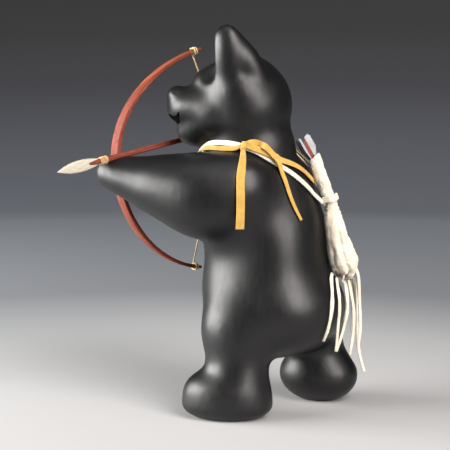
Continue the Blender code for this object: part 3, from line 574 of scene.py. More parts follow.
# The left ear's masses: place, half sizes, tilt, and whether it adds or takes away.
EAR = [
    ((28, 9, 40), (13, 15, 32), 5, True),
    ((27, 1, 44), (12, 14, 29), 38, True),
    ((26, 29, 46), (11, 12, 22), 8, False),
]
EAR_LEAN = 12
EAR_STAGGER = 5.0                # of the right ear ahead of the left, in steps
# The mouth's outline from the side, forward and up, how far in its sides reach, and the nostrils.
MOUTH = [(61.3, -1.0), (58.0, -2.9), (55.1, -2.4), (53.3, 0.6), (52.2, 0.6), (52.2, -8.0), (60, -14),
         (70, -6)]
MOUTH_SIDES = (8.0, 32.0)
NOSTRIL, NOSTRIL_RADIUS = (7.5, 63.8, 17.0), 0.0019

# The arms from the shoulder to the paw: place, radius.
LEFT_ARM = [((40, -16, 187), 31), ((46, -44, 181), 36), ((50, -72, 188), 27), ((50, -92, 192), 21),
            ((50, -110, 196), 17), ((49, -124, 199), 14)]
RIGHT_ARM = [((-36, -10, 190), 30), ((-60, -24, 201), 25), ((-80, -38, 214), 21), ((-60, -48, 224), 18),
             ((-40, -56, 232), 15)]

FIRMNESS = 6.0
THRESHOLD = 0.25
# The finest grid that a soft mass can have is 5 mm, so the clay is made ten times larger and shrunk.
CLAY_SCALE = 10.0
# How far the clay is rubbed smooth: fully on the body, less on the feet, and least on the head and the paws.
BODY_RUB = 0.0150
HEAD_RUB = 0.0034
# Where the full rub fades out, in steps: up to the chin, forward to the paws and down to the feet.
CHIN, CHIN_FADE = 205, 25
PAWS, PAWS_FADE = -95, 30
FEET, FEET_FADE, FEET_SHARE = 40, 30, 0.3


def head_point(left, forward, up):
    turn = radians(HEAD_TURN)
    return (HEAD_CENTRE[0] + left * cos(turn) + forward * sin(turn),
            HEAD_CENTRE[1] + left * sin(turn) - forward * cos(turn),
            HEAD_CENTRE[2] + up)


def clay_masses():
    """Every mass as place, half sizes, turn (degrees about x, y, z) and whether it adds or takes away."""
    masses = [(spot, half, (0, 0, turn), True) for spot, half, turn in TRUNK_AND_LEGS]
    masses += [(head_point(*spot), half, (tilt, 0, HEAD_TURN), True) for spot, half, tilt in HEAD]
    for side, stagger in ((1, 0), (-1, EAR_STAGGER)):
        for (left, forward, up), half, tilt, adds in EAR:
            spot = head_point(side * left, forward + stagger, up)
            masses.append((spot, half, (tilt, side * EAR_LEAN, HEAD_TURN), adds))
    for arm in (LEFT_ARM, RIGHT_ARM):
        balls = []
        for (a, r_a), (b, r_b) in zip(arm, arm[1:]):
            balls += [(a, r_a), (tuple((p + q) / 2 for p, q in zip(a, b)), (r_a + r_b) / 2)]
        masses += [(spot, (radius,) * 3, (0, 0, 0), True) for spot, radius in balls + arm[-1:]]
    return masses


def clay_mesh(grid):
    ball = bpy.data.metaballs.new("clay")
    ball.resolution = ball.render_resolution = grid * CLAY_SCALE
    ball.threshold = THRESHOLD
    grow = 1 / sqrt(1 - (THRESHOLD / FIRMNESS) ** (1 / 3))
    for spot, half, turn, adds in clay_masses():
        mass = ball.elements.new(type="ELLIPSOID")
        mass.co = place(*spot) * CLAY_SCALE
        mass.radius = 1.0
        mass.size_x, mass.size_y, mass.size_z = (h * STEP * CLAY_SCALE * grow for h in half)
        mass.rotation = Euler([radians(angle) for angle in turn]).to_quaternion()
        mass.stiffness = FIRMNESS
        mass.use_negative = not adds
    return moved(evaluated_mesh(solid("clay", ball)), Matrix.Scale(1 / CLAY_SCALE, 4))


def body_share(point):
    """1 on the body, less on the feet, 0 on the head and the paws."""
    below_chin = clamped((CHIN * STEP - point.z) / (CHIN_FADE * STEP))
    behind_paws = clamped((point.y - place(0, PAWS, 0).y) / (PAWS_FADE * STEP))
    above_feet = clamped((point.z - FEET * STEP) / (FEET_FADE * STEP))
    return below_chin * behind_paws * max(above_feet, FEET_SHARE)


def rub(obj, reach, group=""):
    modifier = obj.modifiers.new("rub", "SMOOTH")
    modifier.factor = 0.5
    modifier.iterations = max(1, round(4 * (reach / CLAY_GRID) ** 2))
    modifier.vertex_group = group


def fine_clay():
    """The clay before anything is cut into it, rubbed smooth."""
    body = solid("fine_clay", clay_mesh(CLAY_GRID))
    group = body.vertex_groups.new(name="body")
    for vertex in body.data.vertices:
        group.add([vertex.index], body_share(vertex.co), "REPLACE")
    rub(body, BODY_RUB, "body")
    rub(body, HEAD_RUB)
    return evaluated_mesh(body)


def mouth_mesh():
    """What is cut out for the mouth's two corners and the nostrils."""
    parts = []
    left, forward, up = NOSTRIL
    for side in (1, -1):
        parts.append(loft("mouth_corner", [[place(*head_point(side * reach, *spot)) for spot in MOUTH]
                                           for reach in MOUTH_SIDES]))
        ball = bpy.data.meshes.new("nostril")
        with drawn_into(ball) as drawing:
            bmesh.ops.create_icosphere(drawing, subdivisions=3, radius=NOSTRIL_RADIUS)
        parts.append(moved(ball, Matrix.Translation(place(*head_point(side * left, forward, up)))))
    mesh = joined("mouth", parts)
    # The cut faces of the mouth and nostrils take the second material, whose darker colour is painted shade.
    for polygon in mesh.polygons:
        polygon.material_index = 1
    return mesh


# The bow, its string and the arrows

UP = Vector((0, 0, 1))
NOCK = place(-30, -58, 232)
GRIP = place(46.5, -121.9, 211)
ARROW_RISE = 0.0025
AIM = Vector((GRIP.x - NOCK.x, GRIP.y - NOCK.y, 0)).normalized()
BESIDE = Vector((-AIM.y, AIM.x, 0))
# The length of one twist of the string, and of the thread that binds the blade.
STRING_PITCH, BINDING_PITCH = 0.0026, 0.0016
STRING_SPACING = 0.0012
SHAFT_SIDES = 24
BOW_CORNER = 0.0007
# The bow narrows over the last sixteenth of each limb, to these shares of its width and thickness.
BOW_ENDS, BOW_END_WIDTH, BOW_END_THICKNESS = 16, 0.45, 0.75


def bow_point(share, upper):
    sweep, rise = (BOW_UPPER_SWEEP, BOW_UPPER_RISE) if upper else (BOW_LOWER_SWEEP, -BOW_LOWER_RISE)
    back = BOW_REACH * (1 - cos(share * sweep)) / (1 - cos(sweep))
    return GRIP - AIM * back + UP * (rise * sin(share * sweep) / sin(sweep))


def bow_width(share):
    return BOW_WIDTH + (BOW_TIP_WIDTH - BOW_WIDTH) * share ** 2.6


def bow_thickness(share):
    return BOW_THICKNESS + (BOW_TIP_THICKNESS - BOW_THICKNESS) * share


def stave_mesh(name, spare, half, corner):
    """The stave, made larger all round by spare. The corner is rounded by this radius."""
    stations = [(i / half, True) for i in range(half, 0, -1)] + [(i / half, False) for i in range(half + 1)]
    route = [bow_point(share, upper) for share, upper in stations]
    bend = (0, 30, 60, 90) if corner else (45,)
    rings, uvs = [], []
    for (share, _), point, along, walked in zip(stations, route, tangents(route), distances(route)):
        facing = BESIDE.cross(along)
        full = min(1.0, (1 - share) * BOW_ENDS)
        w = bow_width(share) * (BOW_END_WIDTH + (1 - BOW_END_WIDTH) * full) / 2 + spare
        t = bow_thickness(share) * (BOW_END_THICKNESS + (1 - BOW_END_THICKNESS) * full) / 2 + spare
        if not spare:
            w += 0.00012 * wobble(point, 70, 3.1)
            t += 0.00010 * wobble(point, 80, 7.7)
        ring = []
        for sx, sy in ((1, 1), (-1, 1), (-1, -1), (1, -1)):
            for degrees in bend[::sx * sy]:
                x = sx * (w - corner + corner * cos(radians(degrees)))
                y = sy * (t - corner + corner * sin(radians(degrees)))
                ring.append(point + BESIDE * x + facing * y)
        rings.append(ring)
        uvs.append((walked, 4 * (w + t)))
    return loft(name, rings, uvs)


def string_winding(upper):
    limb = distances([bow_point(i / 50, upper) for i in range(51)])[-1]
    share = 1 - STRING_INSET / limb
    middle = bow_point(share, upper)
    along = (bow_point(1, upper) - bow_point(share - 0.02, upper)).normalized()
    to_nock = NOCK - middle
    inward = (to_nock - along * to_nock.dot(along)).normalized()
    stand_off = STRING_DIAMETER / 2 + SLOT_GAP
    half_across = bow_width(share) / 2 + stand_off
    half_through = bow_thickness(share) / 2 + stand_off
    pitch = STRING_DIAMETER + 2 * FIT_GAP
    per_turn = 12
    points = []
    for i in range(STRING_TURNS * per_turn + 1):
        turn = pi / 2 + 2 * pi * i / per_turn
        across = swollen(cos(turn), 0.5) * half_across
        through = swollen(sin(turn), 0.5) * half_through
        advance = (STRING_TURNS / 2 - i / per_turn) * pitch
        points.append(middle + BESIDE * across + inward * through + along * advance)
    onward = (points[-1] - points[-2]).normalized() + (NOCK - points[-1]).normalized()
    return points + [points[-1] + onward.normalized() * STRING_DIAMETER]


def string_points():
    """The string from tip to tip: a winding, three points round the nock, and the other winding."""
    upper, lower = string_winding(True), string_winding(False)
    above, below = (NOCK + (end - NOCK).normalized() * STRING_DIAMETER for end in (upper[-1], lower[-1]))
    return upper, [above, NOCK + ((above + below) / 2 - NOCK) * 0.5, below], lower[::-1]


def twisted_mesh(name, route, diameter, pitch, sides=10):
    """A cord of two twisted plies along a route. Its rings turn as little as they can."""
    rings, uvs = [], []
    side = tangents(route)[0].orthogonal().normalized()
    for point, along, walked in zip(route, tangents(route), distances(route)):
        side = (side - along * side.dot(along)).normalized()
        up = along.cross(side)
        lay = 2 * pi * walked / pitch
        ring = []
        for turn in turns(sides):
            radius = diameter / 2 * (0.80 + 0.20 * abs(cos(turn - lay)))
            ring.append(point + side * (radius * cos(turn)) + up * (radius * sin(turn)))
        rings.append(ring)
        uvs.append((walked, pi * diameter))
    return loft(name, rings, uvs)


def build_string(thread):
    winding = sum(string_points(), [])
    route = []
    for start, end in zip(winding, winding[1:]):
        pieces = max(1, round((end - start).length / STRING_SPACING))
        route += [start.lerp(end, i / pieces) for i in range(pieces)]
    route.append(winding[-1])
    mesh = twisted_mesh("pale_bowstring", route, STRING_DIAMETER, STRING_PITCH)
    string = add("pale_bowstring", mesh, thread, "pale_thread", "bowstring")


def arrow_frame():
    beside = BESIDE * (BOW_WIDTH / 2 + SHAFT_DIAMETER / 2 + FIT_GAP)
    rest = GRIP + beside + UP * ARROW_RISE
    return aim_matrix(NOCK, rest - NOCK, UP)


def arrow_shoulder(matrix):
    """How far ahead of the string the blade's shoulder is."""
    paw = matrix.inverted() @ place(*LEFT_ARM[-1][0])
    return paw.z + LASHING_AHEAD * STEP + LASHING_LENGTH + FIT_GAP


def turned_mesh(name, profile, seed=0.0, uneven=0.0):
    """A closed profile of (radius, height) pairs turned about z, a little uneven."""
    rings = []
    for radius, height in profile:
        ring = []
        for turn in turns(SHAFT_SIDES):
            r = radius * (1 + uneven * wobble(round_spot(1, turn, height * 120), 1.3, seed))
            ring.append(round_spot(r, turn, height))
        rings.append(ring)
    girth = 2 * pi * max(radius for radius, _ in profile)
    return loft(name, rings, [(height, girth) for _, height in profile])


def shaft_profile(length, taper, levels):
    radius = SHAFT_DIAMETER / 2
    body = [(radius, (length - taper) * i / levels) for i in range(levels + 1)]
    if taper:
        body += [(radius + (SHAFT_POINT_RADIUS - radius) * (i / 10) ** 1.3, length - taper + taper * i / 10)
                 for i in range(1, 11)]
    return [(radius * 0.8, 0)] + body[1:] + [(body[-1][0] * 0.7, length)]


def slot_box(half, start, end):
    """A slot across a shaft, in the arrow's own axes."""
    return box_mesh(Vector((-SHAFT_DIAMETER, -half, start)), Vector((SHAFT_DIAMETER, half, end)))


def build_arrow(wood, bone, thread):
    matrix = arrow_frame()
    shoulder = arrow_shoulder(matrix)
    tip = shoulder + SHAFT_TAPER
    back = matrix @ Matrix.Translation((0, 0, -NOCK_DEPTH))
    profile = shaft_profile(tip + NOCK_DEPTH, SHAFT_TAPER, 60)
    shaft = moved(turned_mesh("arrow_shaft", profile, 2.0, 0.02), back)
    nock = STRING_DIAMETER / 2 + SHAFT_DIAMETER / 4 + SLOT_GAP
    slots = [slot_box(BLADE_THICKNESS / 2 + FIT_GAP * 0.4, shoulder - TANG_LENGTH, tip + SHAFT_DIAMETER),
             slot_box(STRING_DIAMETER / 2 + SLOT_GAP / 2, -NOCK_DEPTH - SHAFT_DIAMETER, nock)]
    shaft = cut(shaft, [moved(slot, matrix) for slot in slots], sharp=35)
    add("red_arrow_shaft", shaft, wood, "red_wood", "arrow_shaft")
    add("leaf_blade", moved(blade_mesh(shoulder), matrix), bone, "bone", "arrow_blade")
    add("thread_lashing", moved(lashing_mesh(shoulder), matrix), thread, "pale_thread", "arrow_lashing")


LEAF_WIDEST = 0.41               # where it is widest, as a share of the blade's length
LEAF_EDGE = 0.16                 # the edge's thickness, as a share of the ridge's
LEAF_LEAST = 0.0003
TANG_WIDTH, TANG_THICKNESS = 0.55, 0.85


def leaf_half_width(share):
    """The blade's half width as a share of its widest, at a share of its length."""
    if share < LEAF_WIDEST:
        return 0.50 + 0.50 * sin(pi / 2 * share / LEAF_WIDEST)
    return max(0.0, cos(pi / 2 * ((share - LEAF_WIDEST) / 0.60) ** 1.25))


def blade_mesh(shoulder):
    """A leaf blade with thin edges and a low ridge, and its tang in the split."""
    rings, uvs = [], []
    levels, across = 64, 10
    for level in range(levels + 1):
        share = level / levels
        height = shoulder + share * BLADE_LENGTH
        half = BLADE_WIDTH / 2 * leaf_half_width(share) + 0.00018 * noise.noise(Vector((0, 0, height * 700)))
        half = max(half, LEAF_LEAST)
        thick = BLADE_THICKNESS / 2 * (1 - 0.55 * share ** 3)
        ring = []
        for side in (1, -1):
            for i in range(across):
                x = (1 - 2 * i / across) * side
                y = side * thick * (LEAF_EDGE + (1 - LEAF_EDGE) * (1 - abs(x) ** 2.6) ** 0.6)
                y += 0.00006 * noise.noise(Vector((x * 3, side, height * 300)))
                ring.append(Vector((x * half, y, height)))
        rings.append(ring)
        uvs.append((height, 4 * half))
    tang = [[Vector((x * TANG_WIDTH, y * TANG_THICKNESS, shoulder - start)) for x, y, _ in rings[0]]
            for start in (TANG_LENGTH * 0.9, 0.0006)]
    return loft("leaf_blade", tang + rings, [(shoulder - TANG_LENGTH, 0.01), (shoulder, 0.01)] + uvs)


# The lashing's close turns, and a few that cross them: how many, how far off the shaft, how thick the thread
# is, and where they start and end as shares of the lashing's length from its front.
LASHING = [(8, 0.0004, 0.00078, 0.0004, 1.0), (2.5, 0.00085, 0.0006, 0.95, 0.1)]
# How far behind the blade's shoulder it starts, and how much less than its whole length it takes up.
LASHING_START, LASHING_SPARE = 0.0007, 0.0012


def lashing_mesh(shoulder):
    """Thread wound round the split end."""
    parts = []
    for turned, off, thread, start, end in LASHING:
        steps = int(turned * 16)
        route = []
        for i in range(steps + 1):
            share = i / steps
            back = (LASHING_LENGTH - LASHING_SPARE) * (start + (end - start) * share)
            height = shoulder - LASHING_START - back
            route.append(round_spot(SHAFT_DIAMETER / 2 + off, 2 * pi * turned * share, height))
        parts.append(twisted_mesh("turns", route, thread, BINDING_PITCH, 8))
    mesh = joined("thread_lashing", parts)
    mesh.shade_smooth()
    return mesh


BARB_SLANT = -0.0016
BARB_PITCH = 0.0008


def vane_mesh():
    """One trimmed feather vane in the x z plane, ribbed along its barbs."""
    inner = SHAFT_DIAMETER / 2 + 0.00005
    levels, rows = 56, 7
    rings, uvs = [], []
    for level in range(levels + 1):
        share = level / levels
        height = -VANE_OVERHANG + VANE_LENGTH * share
        rise = VANE_HEIGHT * min(1.0, (1 - share) / 0.5 + 0.10)
        rise *= 1 + 0.05 * noise.noise(Vector((height * 900, inner * 9, -VANE_OVERHANG * 7)))
        if share < 0.1:
            rise *= 0.70 + 3.0 * share
        ring = []
        for side in (1, -1):
            for i in range(rows + 1):
                row = i / rows if side > 0 else 1 - i / rows
                thin = VANE_THICKNESS / 2 * (1 - 0.45 * row)
                rib = 0.00007 * sin(2 * pi * (height - BARB_SLANT * row) / BARB_PITCH)
                ring.append(Vector((inner + rise * row, side * thin + rib,
                                    height + BARB_SLANT * row * (1 - share))))
        rings.append(ring)
        uvs.append((height, 2 * VANE_HEIGHT))
    return loft("vane", rings, uvs)


# Leather bands

ON_SKIN = LACE_GAP + LEATHER / 2
BAND_SPACING, BAND_SIDES = 0.0009, 16


class Skin:
    """The clay's surface, for whatever lies on it."""

    def __init__(self, mesh):
        mesh.calc_loop_triangles()
        triangles = [tuple(face.vertices) for face in mesh.loop_triangles]
        self.tree = BVHTree.FromPolygons([vertex.co for vertex in mesh.vertices], triangles)

    def nearest(self, point):
        """The nearest spot and the way that it faces."""
        return self.tree.find_nearest(point)[:2]

    def lay(self, point, lift):
        spot, facing = self.nearest(point)
        return spot + facing * lift, facing


def evened(vectors, rounds):
    for _ in range(rounds):
        inner = [(a + 2 * b + c).normalized() for a, b, c in zip(vectors, vectors[1:], vectors[2:])]
        vectors = [vectors[0]] + inner + [vectors[-1]]
    return vectors


def keep_off(skin, route, facings, width):
    for _ in range(6):
        lifted = []
        for point, along, facing in zip(route, tangents(route), facings):
            edge = along.cross(facing).normalized() * (width / 2)
            short = 0.0
            for place_across in (point - edge, point, point + edge):
                spot, away = skin.nearest(place_across)
                short = max(short, (ON_SKIN - (place_across - spot).dot(away)) / max(away.dot(facing), 0.5))
            lifted.append(point + facing * short)
        inner = [(a + 4 * b + c) / 6 for a, b, c in zip(lifted, lifted[1:], lifted[2:])]
        route = [lifted[0]] + inner + [lifted[-1]]
    return lifted


def lie_on(skin, points, width, pieces):
    laid = [skin.lay(point, ON_SKIN) for point in smooth_route([place(*p) for p in points], pieces)]
    facings = evened([facing for _, facing in laid], 4)
    return keep_off(skin, [spot for spot, _ in laid], facings, width), facings


def hang(skin, points, width, pieces):
    route = smooth_route([place(*p) for p in points], pieces)
    facings = evened([skin.nearest(point)[1] for point in route], 8)
    return keep_off(skin, route, facings, width), facings


def nearest_on(route, point):
    best = route[0]
    for start, end in zip(route, route[1:]):
        spot = start.lerp(end, clamped((point - start).dot(end - start) / (end - start).length_squared))
        if (spot - point).length < (best - point).length:
            best = spot
    return best


def climb_over(route, facings, under, near):
    """Lifts a band's route by a layer over another band where it passes closer beside it than near."""
    lifted = []
    for point, facing in zip(route, facings):
        offset = point - nearest_on(under, point)
        height = offset.dot(facing)
        aside = (offset - facing * height).length
        share = clamped((near + LACE_GAP - aside) / LACE_GAP)
        lift = max(LAYER + FIT_GAP - height, 0.0)
        lifted.append(point + facing * lift * share * share * (3 - 2 * share))
    return lifted


def band_mesh(name, route, facings, widths, seed, thickness=LEATHER, twist=0.0, cup=0.0, ragged=0.00018):
    """A soft leather band: rounded edges, uneven width, napped surface. The widths run from end to end."""
    fine_facings = [v.normalized() for v in smooth_route(facings, 5)]
    points, looks = respaced(smooth_route(route, 5), fine_facings, BAND_SPACING)
    rings, uvs = [], []
    last = len(points) - 1
    stations = zip(points, tangents(points), looks, distances(points))
    for i, (point, along, facing, walked) in enumerate(stations):
        at = i / last * (len(widths) - 1)
        low = min(int(at), len(widths) - 2)
        width = widths[low] + (widths[low + 1] - widths[low]) * (at - low)
        across = along.cross(facing).normalized()
        out = across.cross(along)
        lean = twist * wobble(point, 45, seed)
        across, out = across * cos(lean) + out * sin(lean), out * cos(lean) - across * sin(lean)
        half = width / 2 + ragged * wobble(point, 160, seed + 4)
        thick = thickness / 2 * (1 + 0.14 * wobble(point, 210, seed + 9))
        if i in (0, last):
            thick *= 0.80
        ring = []
        for turn in turns(BAND_SIDES):
            x = swollen(cos(turn + pi / BAND_SIDES), 0.55)
            y = swollen(sin(turn + pi / BAND_SIDES), 0.75)
            spot = point + across * (x * half) + out * (y * thick + cup * (x * x - 0.4))
            ring.append(spot + (spot - point).normalized() * (0.00006 * wobble(spot, 1300, seed)))
        rings.append(ring)
        uvs.append((walked, 2 * (width + thickness)))
    return loft(name, rings, uvs), points


def add_band(name, hide, nodes, *band, **form):
    """A band as a finished piece of a hide (a material, and a slot name that is not used), and its middle
    line.
    """
    mesh, points = band_mesh(name, *band, **form)
    return add(name, mesh, *hide, *nodes), points


STRAP_POINTS = [(4, 33, 181), (12, 27, 188), (22, 21, 196), (30, 11, 205), (36, 2, 214), (39, -7, 220),
                (41, -15, 224), (39, -26, 225), (35, -38, 226), (29, -47, 224), (20, -54, 220),
                (5, -58, 217), (-12, -54, 216), (-25, -40, 218), (-30, -22, 220), (-27, -4, 217),
                (-22, 12, 206), (-19, 24, 194), (-16, 30, 184)]
LACE_FRONT_POINTS = [(41, -12, 221), (43, -18, 218), (45, -28, 219), (43, -39, 219), (37, -50, 217),
                     (28, -58, 211), (15, -60, 206), (2, -59, 207), (-6, -57, 211)]
SHARED_POINTS = (12, 16)         # the strap's points between which the lace lies on top of it
LACE_BACK_POINTS = [(-18, 19, 200), (-14, 25, 195), (-9, 31, 190), (0, 29, 192), (9, 25, 199), (17, 20, 205),
                    (26, 13, 210), (33, 6, 215), (38, -2, 220), (41, -10, 222)]
TAIL_A_POINTS = [(42, -12, 220), (50, -9, 217), (60, -6, 211), (68, -5, 200), (70, -4, 188), (70, -4, 174),
                 (69, -5, 159)]
TAIL_B_POINTS = [(41, -11, 222), (40, -7, 225), (37, -1, 226), (35, 5, 221), (33, 10, 213), (32, 14, 204),
                 (32, 20, 188), (30, 25, 174), (29, 32, 163)]
TAIL_B_WIDTH = LACE_WIDTH * 0.8
KNOT_POINT, KNOT_LIFT = (42, -11, 221), 0.0012
# How far each of the lace's first points stands up on its edge against the neck, over the strap.
STANDING = (0.0, 0.5, 0.9, 1.0, 1.0, 1.0, 1.0, 1.0, 0.7, 0.3)
NECK_AXIS = place(6, -18, 220.9)


def in_front(point):
    return point.y < place(0, -24, 0).y and point.x > place(5, 0, 0).x


def neck_routes(skin):
    pieces = 2
    strap, strap_facings = lie_on(skin, STRAP_POINTS, STRAP_WIDTH, pieces)
    near = (STRAP_WIDTH + LACE_BAND_WIDTH) / 2
    under_lace = [point for point in strap if not in_front(point)]
    (front, front_facings), (back, back_facings) = (
        lie_on(skin, points, LACE_BAND_WIDTH, pieces) for points in (LACE_FRONT_POINTS, LACE_BACK_POINTS))
    front = climb_over(front, front_facings, under_lace, near)
    back = climb_over(back, back_facings, under_lace, near)
    shared = slice(pieces * SHARED_POINTS[0], pieces * SHARED_POINTS[1] + 1)
    over = [point + facing * LAYER for point, facing in zip(strap[shared], strap_facings[shared])]
    return strap, strap_facings, front + over + back, front_facings + strap_facings[shared] + back_facings


def stood_up(skin, route, facings):
    """The lace's route and facings with its front turned upright on the neck's side."""
    route, facings = list(route), list(facings)
    for i, share in enumerate(STANDING):
        out = Vector((route[i].x - NECK_AXIS.x, route[i].y - NECK_AXIS.y, 0)).normalized()
        wall = skin.tree.ray_cast(NECK_AXIS, out)[0]
        route[i] = route[i].lerp(wall + out * (ON_SKIN + LAYER), share)
        facings[i] = facings[i].lerp(out, share).normalized()
    return route, facings


STRAP_ENDS = (-130, -50)         # in degrees round the tie
TIE_START, TIE_TURNS, TIE_STEPS = -140, 2.3, 66
TIE_WIDTHS = [0.0010, 0.0032, 0.0036, 0.0032, 0.0036, 0.0032, 0.0010]


def build_strap(route, facings, tie_frame, hide):
    """The strap, with both its ends under the tie, and the tie."""
    ends = [tie_frame @ round_spot(QUIVER_RADIUS + LAYER, radians(end), 0) for end in STRAP_ENDS]
    strap = add_band("white_neck_strap", hide, ["neck_strap"], [ends[0]] + route + [ends[1]],
                     [facings[0]] + facings + [facings[-1]], [STRAP_WIDTH] * 2, 11, thickness=0.0017,
                     cup=-0.00015)
    build_tie(tie_frame, hide)


def build_tie(tie_frame, hide):
    """Lumpy turns of the strap round the quiver."""
    route, facings = [], []
    for i in range(TIE_STEPS + 1):
        share = i / TIE_STEPS
        turn = radians(TIE_START) + 2 * pi * TIE_TURNS * share
        r = QUIVER_RADIUS + LEATHER + 0.0003 * sin(5 * turn) + 0.0005 * sin(pi * share)
        height = TIE_WIDTH * (0.40 - 0.80 * share) + 0.0006 * sin(3 * turn)
        route.append(tie_frame @ round_spot(r, turn, height))
        facings.append(tie_frame.to_3x3() @ round_spot(1, turn, 0))
    add_band("quiver_tie", hide, [], route, facings, TIE_WIDTHS, 23, thickness=0.0016, twist=0.5,
             ragged=0.0004)


def build_lace(skin, band, facings, strap_route, hide):
    near = (STRAP_WIDTH + LACE_WIDTH) / 2
    rolled = [LACE_BAND_WIDTH * (0.70 if i <= len(STANDING) else 1.0) for i in range(len(band))]
    rolled[0] = rolled[-1] = LACE_BAND_WIDTH * 0.6
    lace = add_band("yellow_neck_lace", hide, ["yellow_lace"], *stood_up(skin, band, facings), rolled, 31,
                    cup=0.0001)

    tail_a, facings_a = hang(skin, TAIL_A_POINTS, LACE_WIDTH, 3)
    tail_a = climb_over(tail_a, facings_a, strap_route, near)
    widths = [LACE_WIDTH * (0.50 + 0.50 * min(i / 7, 1.0)) for i in range(len(tail_a))]
    first = add_band("lace_tail_front", hide, [], tail_a, facings_a, widths, 37, cup=0.0002)

    tail_b, facings_b = hang(skin, TAIL_B_POINTS, TAIL_B_WIDTH, 3)
    tail_b = climb_over(tail_b, facings_b, strap_route, near)
    tail_b = climb_over(tail_b, facings_b, band[len(band) // 2:-3], near)
    last = len(tail_b) - 1
    widths = [TAIL_B_WIDTH + (TAIL_TIP_WIDTH - TAIL_B_WIDTH) * (i / last) ** 1.5 for i in range(last + 1)]
    second = add_band("lace_tail_back", hide, [], tail_b, facings_b, widths, 41, cup=0.0002)

    build_lace_knot(skin, hide)


def build_lace_knot(skin, hide):
    """The knot: a turn of the lace pulled tight over the crossing bands."""
    matrix = aim_matrix(*skin.lay(place(*KNOT_POINT), 2 * LAYER + KNOT_LIFT), UP)
    route, facings = [], []
    for i in range(25):
        turn = radians(-100 + 400 * i / 24)
        spot = Vector((0.0034 * cos(turn) + 0.0008 * i / 24, 0.0011 * (i / 12 - 1), 0.0021 * sin(turn)))
        route.append(matrix @ spot)
        facings.append((matrix.to_3x3() @ Vector((cos(turn), 0, sin(turn)))).normalized())
    add_band("lace_knot", hide, [], route, facings, [0.0040] * 2, 43, thickness=0.0013)


# The quiver

# Its places from the mouth down, and its half sizes there: across and off the back, as shares of its radius.
QUIVER = [
    ((-7, 31.4, 213), 1.10, 1.16),
    ((-8, 38, 193), 1.02, 1.10),
    ((-7, 42, 181), 1.0, 1.0),
    ((-7, 44, 173), 1.0, 1.0),
    ((-6, 47, 163), 1.36, 1.46),
    ((-4, 50, 146), 1.90, 1.84),
    ((-6, 54, 133), 2.4, 2.28),
    ((-8, 56, 125), 2.5, 2.40),
    ((-10, 57, 118), 2.1, 2.00),
    ((-10, 57, 113), 1.35, 1.25),
]
QUIVER_STRAIGHT = 4              # so many of its places are in line, down to the tie
QUIVER_SIDES = 96
MOUTH_SLANT = 0.0048
HOLE_DEPTH = 0.0005
SPARE_NOCK = (-5, 24, 225)
SPARE_CROSSING = 0.0102

# Lengthwise folds of the quiver's foot: where round it in degrees at the fold's start (0 is the bear's right,
# 90 away from its back), how far they turn on the way down, their depth in metres, their width in degrees and
# where they start along it.
FOLDS = [(148, -16, 0.0030, 8, 0.42), (182, -8, 0.0022, 8, 0.74), (118, 6, 0.0020, 9, 0.62),
         (92, -10, 0.0026, 9, 0.46), (60, 8, 0.0018, 10, 0.60), (24, -6, 0.0022, 11, 0.52),
         (212, 6, 0.0018, 10, 0.60), (330, 0, 0.0016, 14, 0.60)]
# Holes that were punched for the lacing: round it in degrees, share of its length, and radius. Each is a
# shallow dent with painted shade in it.
HOLES = [(120, 0.035, 0.0006), (150, 0.07, 0.0005), (185, 0.15, 0.0007), (188, 0.18, 0.0007),
         (110, 0.455, 0.0007), (200, 0.89, 0.0010)]


def quiver_line(skin):
    """The quiver's middle at each of its places, clear of the clay, and the way out from the back there."""
    middles, outs = [], []
    for i, (spot, _, depth) in enumerate(QUIVER):
        lift = depth * QUIVER_RADIUS + (QUIVER_STAND_OFF if i < QUIVER_STRAIGHT else LACE_GAP)
        middle = place(*spot)
        wall, facing = skin.nearest(middle)
        middles.append(middle + facing * max(0.0, lift - (middle - wall).dot(facing)))
        outs.append(skin.nearest(middles[-1])[1])
    top, tie = middles[0], middles[QUIVER_STRAIGHT - 1]
    for i in range(1, QUIVER_STRAIGHT - 1):
        middles[i] = top.lerp(tie, (middles[i] - top).length / (tie - top).length)
    return middles, evened(outs, 6)


def half_turn(degrees):
    """The same angle between -180 and 180."""
    return (degrees + 180) % 360 - 180


def fold_depth(degrees, share):
    depth = 0.0
    for fold_at, veer, deep, spread, start in FOLDS:
        run = max(share - start, 0.0)
        aside = half_turn(degrees - fold_at - veer * run / (1 - start) + 4 * sin(share * 17))
        depth += deep * min(run / 0.16, 1.0) * exp(-abs(aside / spread) ** 1.4)
    return depth


def in_hole(degrees, walked, total, half_width):
    """How much painted shade a punched hole gets: 1 inside it, 0 away from it."""
    shade_in_hole = 0.0
    for hole_at, share, radius in HOLES:
        aside = radians(half_turn(degrees - hole_at)) * half_width
        apart = hypot(aside, (walked / total - share) * total) / radius
        shade_in_hole = max(shade_in_hole, clamped(1.5 - apart))
    return shade_in_hole


